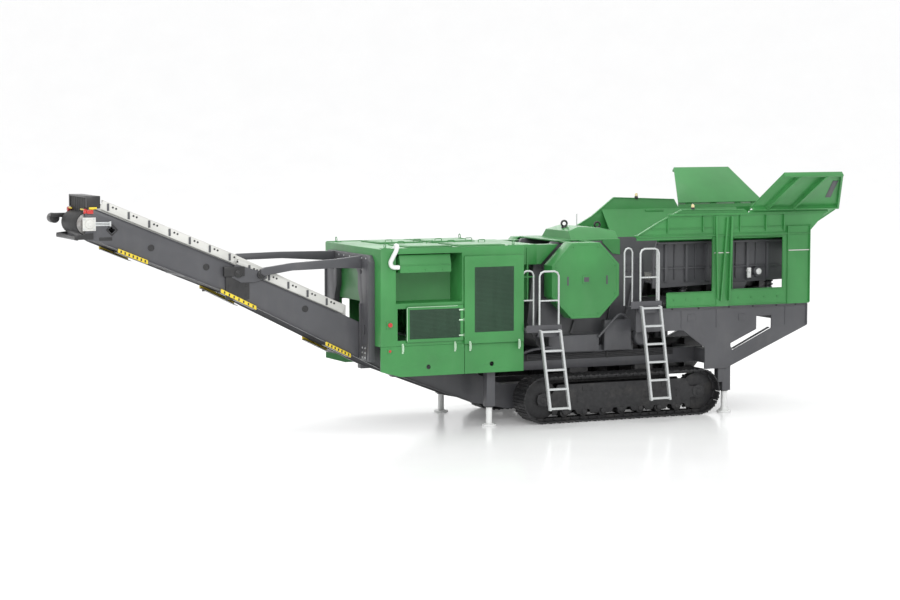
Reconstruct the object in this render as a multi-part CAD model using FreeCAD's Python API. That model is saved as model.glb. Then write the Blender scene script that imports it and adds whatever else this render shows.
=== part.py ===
import FreeCAD, Part
import math
import os

os.makedirs("parts", exist_ok=True)

# A tracked mobile jaw crusher, in millimetres. +Z is up, +X points at the loading hopper,
# -Y is the side with the service doors. The origin is on the ground under the middle.

# ---- driving dimensions: whole machine ----
HALF_WIDTH = 1400.0          # outer faces of canopy, hopper frame and track shoes
PLATE = 30.0                 # panels, as modelled (real sheet is thinner)
HEAVY_PLATE = 40.0           # chassis and conveyor side plates
SEAT = 0.0                   # welded parts meet face to face
FIT = 0.3                    # gap round a shaft or under a roller
CONVEYOR_HALF_WIDTH = 600.0  # outer faces of the conveyor's side plates
RUNNING_CLEARANCE = 6.0      # gap left round anything that moves

# ---- tracks ----
TRACK_REAR_X = 4750.0
TRACK_FRONT_X = 1300.0
TRACK_RADIUS = 460.0         # to the tips of the shoe bars
SHOE_WIDTH = 500.0
CHAIN_THICKNESS = 75.0
SHOE_BAR = 20.0
SHOE_COUNT = 50
TRACK_FRAME_TOP_Z = 740.0
TRACK_FRAME_BOTTOM_Z = 150.0
TRACK_ROLLER_RADIUS = 90.0
TRACK_ROLLER_COUNT = 7

# ---- chassis ----
BEAM_INNER_Y = CONVEYOR_HALF_WIDTH + 100.0
BEAM_WIDTH = 180.0
BEAM_BOTTOM_Z = 1000.0
BEAM_TOP_Z = 1300.0
BEAM_FRONT_X = -1650.0
BEAM_REAR_X = 5100.0
DECK_Z = 1600.0
RAIL_TOP_Z = 2140.0
RAIL_BOTTOM_Z = 1690.0

# ---- jack legs ----
FRONT_JACK_X = 245.0
FRONT_JACK_Y = 1120.0
REAR_JACK_X = 5375.0
REAR_JACK_Y = HALF_WIDTH - 150.0
JACK_ROD_RADIUS = 60.0
JACK_PAD_RADIUS = 140.0
JACK_PAD_HEIGHT = 40.0
JACK_STROKE = 300.0

# ---- power unit canopy ----
CANOPY_FRONT_X = -2110.0
CANOPY_REAR_X = 840.0
CANOPY_TOP_Z = 3450.0
CANOPY_WALL_BOTTOM_Z = 1630.0
SKIRT_BOTTOM_Z = 1060.0
SKIRT_SPLIT_X = -400.0
LOUVRE_FRONT_X = -420.0
LOUVRE_REAR_X = 820.0
LOUVRE_TOP_Z = CANOPY_TOP_Z - 170.0
LOUVRE_DEPTH = 50.0
DOOR_FRONT_X = -1600.0
DOOR_REAR_X = -440.0
DOOR_SIDE_GAP = 170.0        # open slot left in front of the door
DOOR_BOTTOM_Z = 1700.0
DOOR_TOP_Z = 2370.0
RECESS_FRONT_X = -1800.0
RECESS_REAR_X = -450.0
RECESS_BOTTOM_Z = 2430.0
RECESS_TOP_Z = CANOPY_TOP_Z - 100.0
RECESS_DEPTH = 550.0
EXHAUST_RADIUS = 42.0

# ---- portal that carries the conveyor ----
PORTAL_THICKNESS = 110.0
PORTAL_HALF_WIDTH = 1120.0
PORTAL_INNER_Y = CONVEYOR_HALF_WIDTH + 40.0
PORTAL_TOP_Z = 3320.0
PORTAL_BOTTOM_Z = 1330.0
PORTAL_BEAM_DEPTH = 230.0

# ---- main conveyor ----
BELT_HALF_WIDTH = 500.0
BELT_THICKNESS = 15.0
HEAD_DRUM_X = -7400.0
HEAD_DRUM_Z = 3990.0
DRUM_RADIUS = 200.0
DRUM_CLEARANCE = 1.7         # the belt bends round a drum in short flats
HEAD_MOTOR_RADIUS = 105.0
TAIL_DRUM_X = 3300.0
TAIL_DRUM_Z = 440.0
TAIL_DRUM_RADIUS = 165.0
CONVEYOR_JOINT_X = -4620.0
UPPER_SLOPE = 0.410
LOWER_SLOPE = 0.450
IDLER_RADIUS = 60.0
SKIRT_RISE = 190.0

# ---- jaw crusher ----
CRUSHER_HALF_WIDTH = CONVEYOR_HALF_WIDTH + 100.0
CRUSHER_WALL = 90.0
FLYWHEEL_X = 2200.0
FLYWHEEL_Z = 2740.0
FLYWHEEL_RADIUS = 620.0
FLYWHEEL_INNER_Y = 830.0
FLYWHEEL_WIDTH = 250.0
SHAFT_RADIUS = 130.0
GUARD_FLAT_RADIUS = 730.0
GUARD_INNER_Y = 1000.0
GUARD_OUTER_Y = 1350.0

# ---- feeder and hopper ----
HOPPER_REAR_X = 7250.0
HOPPER_FRONT_X = 3290.0
SHELF_Z = 3570.0
HOPPER_TOP_Z = 3990.0
NEAR_WALL_TOP_Z = 4075.0
FAR_WALL_TOP_Z = 4220.0
WING_FRONT_X = 5834.0
WING_REAR_X = 7915.0
WING_TIP_FRONT_X = 6153.0
WING_TIP_REAR_X = 7498.0
WING_HINGE_Z = 4065.0
WING_TOP_Z = 4783.0
WING_TIP_Y = 2171.0
WING_THICKNESS = 20.0
FEEDER_INNER_Y = 900.0
FEEDER_WALL = 40.0
FEEDER_FLOOR_Z = 2640.0
FEEDER_TOP_Z = 3420.0

# ---- access ----
LADDER_WIDTH = 450.0
STILE = 40.0
RAIL_TUBE = 20.0
LEFT_LADDER_X = 1335.0
RIGHT_LADDER_X = 3525.0
LEFT_PLATFORM_Z = 1830.0
RIGHT_PLATFORM_Z = 2210.0
LADDER_LEAN = 400.0


# ---- helpers: plain solids in the machine's frame ----
def box(x0, x1, y0, y1, z0, z1):
    """A block between two corners."""
    corner = FreeCAD.Vector(min(x0, x1), min(y0, y1), min(z0, z1))
    return Part.makeBox(abs(x1 - x0), abs(y1 - y0), abs(z1 - z0), corner)


def prism_xz(points, y0, y1):
    """A side-view outline pulled across the machine from y0 to y1."""
    low = min(y0, y1)
    ring = [FreeCAD.Vector(x, low, z) for x, z in points]
    ring.append(ring[0])
    face = Part.Face(Part.makePolygon(ring))
    return face.extrude(FreeCAD.Vector(0, abs(y1 - y0), 0))


def prism_yz(points, x0, x1):
    """A front-view outline pulled along the machine from x0 to x1."""
    low = min(x0, x1)
    ring = [FreeCAD.Vector(low, y, z) for y, z in points]
    ring.append(ring[0])
    face = Part.Face(Part.makePolygon(ring))
    return face.extrude(FreeCAD.Vector(abs(x1 - x0), 0, 0))


def roller(x, z, radius, y0, y1):
    """A cylinder lying across the machine."""
    low = min(y0, y1)
    return Part.makeCylinder(radius, abs(y1 - y0), FreeCAD.Vector(x, low, z), FreeCAD.Vector(0, 1, 0))


def tube(start, end, radius):
    """A round bar between two points."""
    a = FreeCAD.Vector(*start)
    b = FreeCAD.Vector(*end)
    return Part.makeCylinder(radius, (b - a).Length, a, b - a)


def far(shape):
    """The same part on the other side of the machine."""
    return shape.mirror(FreeCAD.Vector(0, 0, 0), FreeCAD.Vector(0, 1, 0))


def both(shape):
    """The near part and its far twin."""
    return Part.makeCompound([shape, far(shape)])


def join(shapes):
    """One solid from touching shapes."""
    result = shapes[0].multiFuse(shapes[1:])
    return result.removeSplitter()


def save(name, shape):
    shape.exportStep("parts/" + name + ".step")


def offset_ring(points, distance):
    """The closed outline moved outwards by a distance, with mitred corners."""
    count = len(points)
    moved = []
    for i in range(count):
        ax, az = points[i - 1]
        bx, bz = points[i]
        cx, cz = points[(i + 1) % count]
        first = math.hypot(bx - ax, bz - az)
        second = math.hypot(cx - bx, cz - bz)
        n1x, n1z = (bz - az) / first, (ax - bx) / first
        n2x, n2z = (cz - bz) / second, (bx - cx) / second
        scale = distance / (1.0 + n1x * n2x + n1z * n2z)
        moved.append((bx + (n1x + n2x) * scale, bz + (n1z + n2z) * scale))
    return moved


# ---- tracks ----
def stadium(radius, y0, y1):
    """A flat block with round ends, on the two wheel centres."""
    middle = box(TRACK_FRONT_X, TRACK_REAR_X, y0, y1, TRACK_RADIUS - radius, TRACK_RADIUS + radius)
    ends = [roller(x, TRACK_RADIUS, radius, y0, y1) for x in (TRACK_FRONT_X, TRACK_REAR_X)]
    return join([middle] + ends)


def track_chain():
    """An endless band of shoes, each with one raised bar."""
    inner_y = -HALF_WIDTH + SHOE_WIDTH
    band_radius = TRACK_RADIUS - SHOE_BAR
    band = stadium(band_radius, -HALF_WIDTH, inner_y)
    hollow = stadium(TRACK_RADIUS - SHOE_BAR - CHAIN_THICKNESS, -HALF_WIDTH - 10, inner_y + 10)
    straight = TRACK_REAR_X - TRACK_FRONT_X
    half_turn = math.pi * band_radius
    pitch = 2 * (straight + half_turn) / SHOE_COUNT
    bars = []
    for i in range(SHOE_COUNT):
        run = i * pitch
        bar = box(-16, 16, -HALF_WIDTH, inner_y, band_radius - 3, TRACK_RADIUS)
        if run < straight:
            turn = 0.0
            centre_x = TRACK_FRONT_X + run
        elif run < straight + half_turn:
            turn = (run - straight) / band_radius
            centre_x = TRACK_REAR_X
        elif run < 2 * straight + half_turn:
            turn = math.pi
            centre_x = TRACK_REAR_X - (run - straight - half_turn)
        else:
            turn = math.pi + (run - 2 * straight - half_turn) / band_radius
            centre_x = TRACK_FRONT_X
        bar.rotate(FreeCAD.Vector(0, 0, 0), FreeCAD.Vector(0, 1, 0), math.degrees(turn))
        bar.translate(FreeCAD.Vector(centre_x, 0, TRACK_RADIUS))
        bars.append(bar)
    return join([band.cut(hollow)] + bars)


CHAIN_INNER_RADIUS = TRACK_RADIUS - SHOE_BAR - CHAIN_THICKNESS
TRACK_MID_Y = HALF_WIDTH - SHOE_WIDTH / 2
FRAME_HALF = 170.0
FRAME_SKIN = 30.0


def track_frame():
    """A box beam between the wheels with side plates that reach both axles."""
    outer = -(TRACK_MID_Y + FRAME_HALF)
    inner = -(TRACK_MID_Y - FRAME_HALF)
    left = TRACK_FRONT_X + 200
    right = TRACK_REAR_X - 200
    axle = 110.0
    outline = [
        (left, TRACK_FRAME_BOTTOM_Z),
        (right, TRACK_FRAME_BOTTOM_Z),
        (right, TRACK_RADIUS - axle),
        (TRACK_REAR_X + axle, TRACK_RADIUS - axle),
        (TRACK_REAR_X + axle, TRACK_RADIUS + axle),
        (right, TRACK_RADIUS + axle),
        (right - 120, TRACK_FRAME_TOP_Z),
        (left + 120, TRACK_FRAME_TOP_Z),
        (left, TRACK_RADIUS + axle),
        (TRACK_FRONT_X - axle, TRACK_RADIUS + axle),
        (TRACK_FRONT_X - axle, TRACK_RADIUS - axle),
        (left, TRACK_RADIUS - axle),
    ]
    skins = [
        prism_xz(outline, outer, outer + FRAME_SKIN),
        prism_xz(outline, inner - FRAME_SKIN, inner),
    ]
    window = 110.0
    gaps = []
    for i in range(10):
        x = left + 160 + i * (right - left - 320) / 9
        shape = [
            (x - window / 2 - 25, TRACK_FRAME_BOTTOM_Z - 1),
            (x + window / 2 + 25, TRACK_FRAME_BOTTOM_Z - 1),
            (x + window / 2 - 20, TRACK_FRAME_BOTTOM_Z + 85),
            (x - window / 2 + 20, TRACK_FRAME_BOTTOM_Z + 85),
        ]
        gaps.append(prism_xz(shape, outer - 1, outer + FRAME_SKIN + 1))
        gaps.append(prism_xz(shape, inner - FRAME_SKIN - 1, inner + 1))
    square_x = (TRACK_FRONT_X + TRACK_REAR_X) / 2 + 480
    gaps.append(box(square_x, square_x + 150, outer - 1, outer + FRAME_SKIN + 1, 400, 520))
    skins = [skin.cut(Part.makeCompound(gaps)) for skin in skins]
    core_left = TRACK_FRONT_X + CHAIN_INNER_RADIUS + 40
    core_right = TRACK_REAR_X - CHAIN_INNER_RADIUS - 40
    core_bottom = TRACK_RADIUS - CHAIN_INNER_RADIUS + 2 * TRACK_ROLLER_RADIUS + 40
    core = box(core_left, core_right, outer + FRAME_SKIN - 1, inner - FRAME_SKIN + 1,
               core_bottom, TRACK_FRAME_TOP_Z - 10)
    return join(skins + [core])


def track_wheels():
    """The idler, the sprocket and the row of bottom rollers of one track."""
    outer = -(TRACK_MID_Y + FRAME_HALF - FRAME_SKIN) - SEAT
    inner = -(TRACK_MID_Y - FRAME_HALF + FRAME_SKIN) + SEAT
    wheels = []
    for x in (TRACK_FRONT_X, TRACK_REAR_X):
        rim = roller(x, TRACK_RADIUS, CHAIN_INNER_RADIUS - FIT, outer + 50, inner - 50)
        hub = roller(x, TRACK_RADIUS, 80, outer, inner)
        wheels.append(join([rim, hub]))
    first = TRACK_FRONT_X + CHAIN_INNER_RADIUS + 110
    last = TRACK_REAR_X - CHAIN_INNER_RADIUS - 110
    z = TRACK_RADIUS - CHAIN_INNER_RADIUS + TRACK_ROLLER_RADIUS + FIT
    for i in range(TRACK_ROLLER_COUNT):
        x = first + i * (last - first) / (TRACK_ROLLER_COUNT - 1)
        wheels.append(roller(x, z, TRACK_ROLLER_RADIUS, outer, inner))
    return wheels


def track_brackets():
    """Two brackets a side that bolt the track frame up to the chassis beam."""
    frame_inner = TRACK_MID_Y - FRAME_HALF
    brackets = []
    for x in (TRACK_FRONT_X + 800, TRACK_REAR_X - 1200):
        post = box(x, x + 400, -HALF_WIDTH + SHOE_WIDTH + 20, -BEAM_INNER_Y - 20, 450, BEAM_BOTTOM_Z)
        foot = box(x, x + 400, -frame_inner - SEAT, -BEAM_INNER_Y - BEAM_WIDTH + 1, 450, 700)
        brackets.append(join([post, foot]))
    return brackets


# ---- chassis ----
def chassis_beams():
    """Two long box beams that everything stands on."""
    return box(BEAM_FRONT_X, BEAM_REAR_X, -BEAM_INNER_Y - BEAM_WIDTH, -BEAM_INNER_Y,
               BEAM_BOTTOM_Z, BEAM_TOP_Z)


def chassis_cross_members():
    """Members that tie the beams, the deck under the engine and the rear plates together."""
    beam_outer = BEAM_INNER_Y + BEAM_WIDTH
    rear_y = HALF_WIDTH - 60
    parts = []
    deck = box(-700, CANOPY_REAR_X - PLATE + SEAT, -HALF_WIDTH + PLATE, HALF_WIDTH - PLATE,
               DECK_Z, DECK_Z + 40)
    posts = []
    for x in (-600, 560):
        for side in (-1, 1):
            posts.append(box(x, x + 160, side * BEAM_INNER_Y, side * beam_outer, BEAM_TOP_Z, DECK_Z + 1))
    parts.append(join([deck] + posts))
    parts.append(box(4880, 5060, -BEAM_INNER_Y - SEAT, BEAM_INNER_Y + SEAT, 1020, 1280))
    parts.append(box(4640, 4820, -rear_y - SEAT, rear_y + SEAT, RAIL_BOTTOM_Z + 60, RAIL_TOP_Z - 60))
    parts.append(box(HOPPER_REAR_X - 260, HOPPER_REAR_X - 60, -rear_y - SEAT, rear_y + SEAT,
                     RAIL_BOTTOM_Z + 60, RAIL_TOP_Z - 60))
    for side in (-1, 1):
        parts.append(box(4900, 5090, side * (beam_outer - SEAT), side * (rear_y + SEAT), 1010, 1290))
    return Part.makeCompound(parts)


def rear_side_plate():
    """The rear flank: a level rail, a raking leg below it and an L-shaped cut-out."""
    outline = [
        (HOPPER_FRONT_X, RAIL_TOP_Z),
        (HOPPER_REAR_X - 20, RAIL_TOP_Z),
        (HOPPER_REAR_X - 20, RAIL_BOTTOM_Z),
        (5350, 900),
        (4850, 900),
        (4850, 1330),
        (4350, RAIL_BOTTOM_Z),
        (HOPPER_FRONT_X, RAIL_BOTTOM_Z),
    ]
    cutout = [(6040, 1910), (6390, 1920), (6390, 1660), (5490, 1250), (5420, 1380), (6040, 1650)]
    plate = prism_xz(outline, -HALF_WIDTH + 20, -HALF_WIDTH + 60)
    return plate.cut(prism_xz(cutout, -HALF_WIDTH, -HALF_WIDTH + 80))


def jack_leg(x, y, z0, z1, width):
    """A square leg with a round bore for the rod of its foot."""
    half = width / 2
    leg = box(x - half, x + half, -y - half, -y + half, z0, z1)
    bore = Part.makeCylinder(JACK_ROD_RADIUS + RUNNING_CLEARANCE, z1 - z0 - 60,
                             FreeCAD.Vector(x, -y, z0 - 1))
    return leg.cut(bore)


FRONT_LEG_BOTTOM_Z = 380.0
REAR_LEG_BOTTOM_Z = 450.0
FRONT_LEG_TOP_Z = 1300.0
REAR_LEG_TOP_Z = 1550.0


def jack_legs():
    """The fixed tubes of the four jacks and the arms that hold them."""
    beam_outer = BEAM_INNER_Y + BEAM_WIDTH
    front = jack_leg(FRONT_JACK_X, FRONT_JACK_Y, FRONT_LEG_BOTTOM_Z, FRONT_LEG_TOP_Z, 170)
    arm = box(FRONT_JACK_X - 80, FRONT_JACK_X + 80, -FRONT_JACK_Y + 84, -beam_outer + SEAT, 1060, 1280)
    rear = jack_leg(REAR_JACK_X, REAR_JACK_Y, REAR_LEG_BOTTOM_Z, REAR_LEG_TOP_Z, 180)
    stay = box(REAR_JACK_X - 190, REAR_JACK_X - 89, -REAR_JACK_Y - 89, -REAR_JACK_Y + 60, 620, REAR_LEG_TOP_Z)
    rear = join([rear, stay])
    near_legs = [join([front, arm]), rear]
    return Part.makeCompound(near_legs + [far(leg) for leg in near_legs])


def jack_foot(x, y, leg_bottom, leg_top):
    """A steel rod on a round pad that slides up into its leg."""
    rod_top = leg_top - 60 - JACK_STROKE - 20
    pad = Part.makeCylinder(JACK_PAD_RADIUS, JACK_PAD_HEIGHT, FreeCAD.Vector(x, -y, 0))
    rod = Part.makeCylinder(JACK_ROD_RADIUS, rod_top - JACK_PAD_HEIGHT + 1,
                            FreeCAD.Vector(x, -y, JACK_PAD_HEIGHT - 1))
    return join([pad, rod])


# ---- power unit canopy ----
def canopy_shell():
    """A steel housing, open below, with door openings and a recess on each side."""
    wall_y = HALF_WIDTH
    outer = box(CANOPY_FRONT_X, CANOPY_REAR_X, -wall_y, wall_y, CANOPY_WALL_BOTTOM_Z, CANOPY_TOP_Z)
    inner = box(CANOPY_FRONT_X + PLATE, CANOPY_REAR_X - PLATE, -wall_y + PLATE, wall_y - PLATE,
                CANOPY_WALL_BOTTOM_Z - 1, CANOPY_TOP_Z - PLATE)
    shell = outer.cut(inner)
    backs = []
    cuts = []
    for side in (-1, 1):
        face = side * wall_y
        back = side * (wall_y - RECESS_DEPTH)
        backs.append(box(RECESS_FRONT_X - PLATE, RECESS_REAR_X + PLATE, back - side * PLATE,
                         face - side * (PLATE - 1), RECESS_BOTTOM_Z - PLATE, RECESS_TOP_Z + PLATE))
        cuts.append(box(RECESS_FRONT_X, RECESS_REAR_X, back, face + side, RECESS_BOTTOM_Z, RECESS_TOP_Z))
        cuts.append(box(DOOR_FRONT_X - DOOR_SIDE_GAP, DOOR_REAR_X - 40, face - side * 2 * PLATE, face + side,
                        DOOR_BOTTOM_Z + 40, DOOR_TOP_Z - 40))
    mouth = CONVEYOR_HALF_WIDTH + 60
    cuts.append(box(CANOPY_FRONT_X - 1, CANOPY_FRONT_X + PLATE + 1, -mouth, mouth,
                    CANOPY_WALL_BOTTOM_Z - 1, 2420))
    shell = join([shell] + backs)
    return shell.cut(Part.makeCompound(cuts))


def canopy_skirts():
    """Two service flaps a side under the canopy; the front one has a cut corner."""
    outer = -HALF_WIDTH
    inner = -HALF_WIDTH + PLATE
    top = CANOPY_WALL_BOTTOM_Z + SEAT
    front = prism_xz([(CANOPY_FRONT_X, top), (CANOPY_FRONT_X, SKIRT_BOTTOM_Z + 110),
                      (CANOPY_FRONT_X + 400, SKIRT_BOTTOM_Z), (SKIRT_SPLIT_X - 5, SKIRT_BOTTOM_Z),
                      (SKIRT_SPLIT_X - 5, top)], outer, inner)
    rear = box(SKIRT_SPLIT_X + 5, CANOPY_REAR_X, outer, inner, SKIRT_BOTTOM_Z, top)
    holes = [
        Part.makeCylinder(45, 60, FreeCAD.Vector(x, outer - 10, 1225), FreeCAD.Vector(0, 1, 0))
        for x in (-1140, 170)
    ]
    return [front.cut(holes[0]), rear.cut(holes[1])]


def grille_frame(x0, x1, z0, z1, y_face, depth, border):
    """A framed panel whose sunken field carries the mesh."""
    panel = box(x0, x1, y_face - depth, y_face, z0, z1)
    field = box(x0 + border, x1 - border, y_face - depth - 1, y_face - depth + 12, z0 + border, z1 - border)
    return panel.cut(field)


def louvre_panel():
    """The tall radiator panel that stands proud of the canopy side."""
    return grille_frame(LOUVRE_FRONT_X, LOUVRE_REAR_X, CANOPY_WALL_BOTTOM_Z, LOUVRE_TOP_Z,
                        -HALF_WIDTH + SEAT, LOUVRE_DEPTH, 210)


def grille_door():
    """A hinged service door with a mesh field, lying just outside the canopy side."""
    return grille_frame(DOOR_FRONT_X, DOOR_REAR_X, DOOR_BOTTOM_Z, DOOR_TOP_Z,
                        -HALF_WIDTH - RUNNING_CLEARANCE, 30, 60)


def hatch_box():
    """A cabinet filling the top of the recess from its back to just proud of the side."""
    back = -HALF_WIDTH + RECESS_DEPTH + SEAT
    drop = (RECESS_TOP_Z - RECESS_BOTTOM_Z) * 35 / 92
    return box(-1720, -680, back, back - RECESS_DEPTH - 10, RECESS_TOP_Z - drop, RECESS_TOP_Z - 20)


def exhaust_elbow():
    """A hooked tail pipe that leaves the roof by a collar and hangs over its edge."""
    y = -HALF_WIDTH - EXHAUST_RADIUS - RUNNING_CLEARANCE
    top = CANOPY_TOP_Z
    points = [
        (-1790, y + 110, top + 15), (-1790, y + 80, top + 60), (-1795, y + 15, top + 50), (-1820, y, top - 30),
        (-1885, y, top - 150), (-1930, y, top - 250), (-1890, y, top - 325), (-1760, y, top - 340),
    ]
    curve = Part.BSplineCurve()
    curve.interpolate([FreeCAD.Vector(*point) for point in points])
    start = FreeCAD.Vector(*points[0])
    ring = Part.makeCircle(EXHAUST_RADIUS, start, curve.tangent(curve.FirstParameter)[0])
    pipe = Part.Wire([curve.toShape()]).makePipeShell([Part.Wire([ring])], True, True)
    collar = Part.makeCylinder(EXHAUST_RADIUS + 20, 40, FreeCAD.Vector(-1790, y + 110, top))
    roof = box(-2000, -1600, -HALF_WIDTH, 0, top - 200, top)
    return join([pipe.cut(roof), collar])


def power_unit():
    """The engine and its radiator, standing on the deck."""
    top = DECK_Z + 40 - SEAT
    engine = box(-550, 350, -600, 600, top, CANOPY_TOP_Z - 550)
    sump = box(-450, 250, -900, 900, top, 2200)
    radiator = box(450, 700, -1150, 1150, top, CANOPY_TOP_Z - 300)
    return Part.makeCompound([join([engine, sump]), radiator])


# ---- portal and arms ----
def portal_frame():
    """A flat gallows with gusseted corners, in front of the canopy."""
    w = PORTAL_HALF_WIDTH
    i = PORTAL_INNER_Y
    top = PORTAL_TOP_Z
    beam = PORTAL_TOP_Z - PORTAL_BEAM_DEPTH
    outline = [
        (-w, PORTAL_BOTTOM_Z), (-w, top - 120), (-w + 120, top), (w - 120, top), (w, top - 120),
        (w, PORTAL_BOTTOM_Z), (i, PORTAL_BOTTOM_Z), (i, beam - 620), (i - 100, beam - 420),
        (i - 100, beam - 120), (i - 220, beam), (-i + 220, beam), (-i + 100, beam - 120),
        (-i + 100, beam - 420), (-i, beam - 620), (-i, PORTAL_BOTTOM_Z),
    ]
    frame = prism_yz(outline, CANOPY_FRONT_X - PORTAL_THICKNESS, CANOPY_FRONT_X + SEAT)
    slots = []
    for side in (-1, 1):
        slots.append(box(-2300, -2000, side * 840, side * 900, 1830, 2010))
        slots.append(Part.makeCylinder(45, 400, FreeCAD.Vector(-2400, side * 700, 3000),
                                       FreeCAD.Vector(1, 0, 0)))
    return frame.cut(Part.makeCompound(slots))


def conveyor_joint_bracket():
    """Outside plate over the joint between the two lengths of conveyor."""
    outline = [
        (-4760, 3120), (-4640, 3200), (-4300, 3090), (-4060, 3040),
        (-4060, 2920), (-4300, 2860), (-4560, 2860), (-4740, 2960),
    ]
    y = CONVEYOR_HALF_WIDTH - SEAT
    return prism_xz(outline, -y - 40, -y)


def conveyor_arms():
    """Two arms from the portal beam to the joint of the conveyor; the far one runs level."""
    front = CANOPY_FRONT_X - PORTAL_THICKNESS + SEAT
    outline = [
        (front, 3300), (front, 3060), (-2700, 3080), (-3600, 3060), (-4130, 2980),
        (-4210, 3020), (-4210, 3090), (-4130, 3130), (-3600, 3200), (-2700, 3250),
    ]
    y = CONVEYOR_HALF_WIDTH + 40 - SEAT
    near = prism_xz(outline, -y - 90, -y)
    level = [
        (front, 3315), (front, 3130), (-3300, 3200), (-4080, 3190), (-4130, 3000),
        (-4260, 3000), (-4270, 3250), (-4190, 3310), (-3300, 3325),
    ]
    level = prism_xz(level, y, y + 90)
    plate = conveyor_joint_bracket()
    return Part.makeCompound([join([near, plate]), join([level, far(plate)])])


# ---- main conveyor ----
def belt_top(x):
    """Height of the carrying side of the belt."""
    angle = math.atan(UPPER_SLOPE)
    radius = DRUM_RADIUS + BELT_THICKNESS
    start_x = HEAD_DRUM_X + radius * math.sin(angle)
    start_z = HEAD_DRUM_Z + radius * math.cos(angle)
    joint_z = start_z - (CONVEYOR_JOINT_X - start_x) * UPPER_SLOPE
    if x < CONVEYOR_JOINT_X:
        return start_z - (x - start_x) * UPPER_SLOPE
    tail_z = TAIL_DRUM_Z + TAIL_DRUM_RADIUS + BELT_THICKNESS
    return max(joint_z - (x - CONVEYOR_JOINT_X) * LOWER_SLOPE, tail_z)


def belt_bend_x():
    """Where the rising part of the belt leaves the level part under the crusher."""
    joint_z = belt_top(CONVEYOR_JOINT_X)
    tail_z = TAIL_DRUM_Z + TAIL_DRUM_RADIUS + BELT_THICKNESS
    return CONVEYOR_JOINT_X + (joint_z - tail_z) / LOWER_SLOPE


def arc(cx, cz, radius, start, end, steps):
    """Points round a drum, angles in degrees from +X towards +Z."""
    points = []
    for i in range(steps + 1):
        a = math.radians(start + (end - start) * i / steps)
        points.append((cx + radius * math.cos(a), cz + radius * math.sin(a)))
    return points


def belt_ring(lift):
    """The belt's path; lift 0 is its outer face, minus a thickness its inner face."""
    head = DRUM_RADIUS + BELT_THICKNESS
    tail = TAIL_DRUM_RADIUS + BELT_THICKNESS
    slope = math.degrees(math.atan(UPPER_SLOPE))
    ring = arc(HEAD_DRUM_X, HEAD_DRUM_Z, head, 270 - slope, 90 - slope, 14)
    ring.append((CONVEYOR_JOINT_X, belt_top(CONVEYOR_JOINT_X)))
    bend = belt_bend_x()
    ring.append((bend, belt_top(bend + 1)))
    ring.extend(arc(TAIL_DRUM_X, TAIL_DRUM_Z, tail, 90, -90, 14))
    low = TAIL_DRUM_Z - tail
    ring.append((bend + 100, low))
    ring.append((bend - 560, low + 190))
    ring.append((-1400, 1080))
    ring.append((CONVEYOR_JOINT_X, belt_top(CONVEYOR_JOINT_X) - 470))
    # The ring runs from the head drum's underside over the top: reverse it for the offset.
    ring.reverse()
    return offset_ring(ring, lift)


def conveyor_belt():
    """One endless rubber belt."""
    outer = prism_xz(belt_ring(0.0), -BELT_HALF_WIDTH, BELT_HALF_WIDTH)
    inner = prism_xz(belt_ring(-BELT_THICKNESS), -BELT_HALF_WIDTH - 5, BELT_HALF_WIDTH + 5)
    return outer.cut(inner)


def upper_plate():
    """Side plate of the head length of the conveyor."""
    outline = [
        (-7400, 4280), (-7470, 4200), (-7470, 3760), (-7400, 3700), (-7203, 3669), (-7112, 3613),
        (CONVEYOR_JOINT_X, 2600), (CONVEYOR_JOINT_X, 3169), (-7324, 4278),
    ]
    plate = prism_xz(outline, -CONVEYOR_HALF_WIDTH, -CONVEYOR_HALF_WIDTH + HEAVY_PLATE)
    window = [(-6980, 3950), (-6910, 3880), (-6980, 3810), (-7050, 3880)]
    return plate.cut(prism_xz(window, -CONVEYOR_HALF_WIDTH - 1, -CONVEYOR_HALF_WIDTH + 80))


def lower_plate():
    """Side plate from the joint down to the tail under the crusher."""
    bend = belt_bend_x()
    outline = [
        (CONVEYOR_JOINT_X + 4, 3110), (CONVEYOR_JOINT_X + 4, 2590), (-4190, 2345), (-1800, 1133),
        (86, 405), (bend + 20, 240), (TAIL_DRUM_X + 200, 240), (TAIL_DRUM_X + 200, 720),
        (bend - 80, 720), (-700, 1330), (-2600, 2226),
    ]
    return prism_xz(outline, -CONVEYOR_HALF_WIDTH, -CONVEYOR_HALF_WIDTH + HEAVY_PLATE)


def conveyor_drums():
    """Head and tail drums with their shafts, and the head motor on the far end."""
    inner = CONVEYOR_HALF_WIDTH - HEAVY_PLATE + SEAT
    drums = []
    for x, z, radius in ((HEAD_DRUM_X, HEAD_DRUM_Z, DRUM_RADIUS), (TAIL_DRUM_X, TAIL_DRUM_Z, TAIL_DRUM_RADIUS)):
        drum = roller(x, z, radius - DRUM_CLEARANCE, -BELT_HALF_WIDTH, BELT_HALF_WIDTH)
        shaft = roller(x, z, 60, -inner, inner)
        drums.append(join([drum, shaft]))
    motor = roller(HEAD_DRUM_X, HEAD_DRUM_Z, HEAD_MOTOR_RADIUS, CONVEYOR_HALF_WIDTH - SEAT,
                   CONVEYOR_HALF_WIDTH + 240)
    drums.append(motor)
    return Part.makeCompound(drums)


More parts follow.
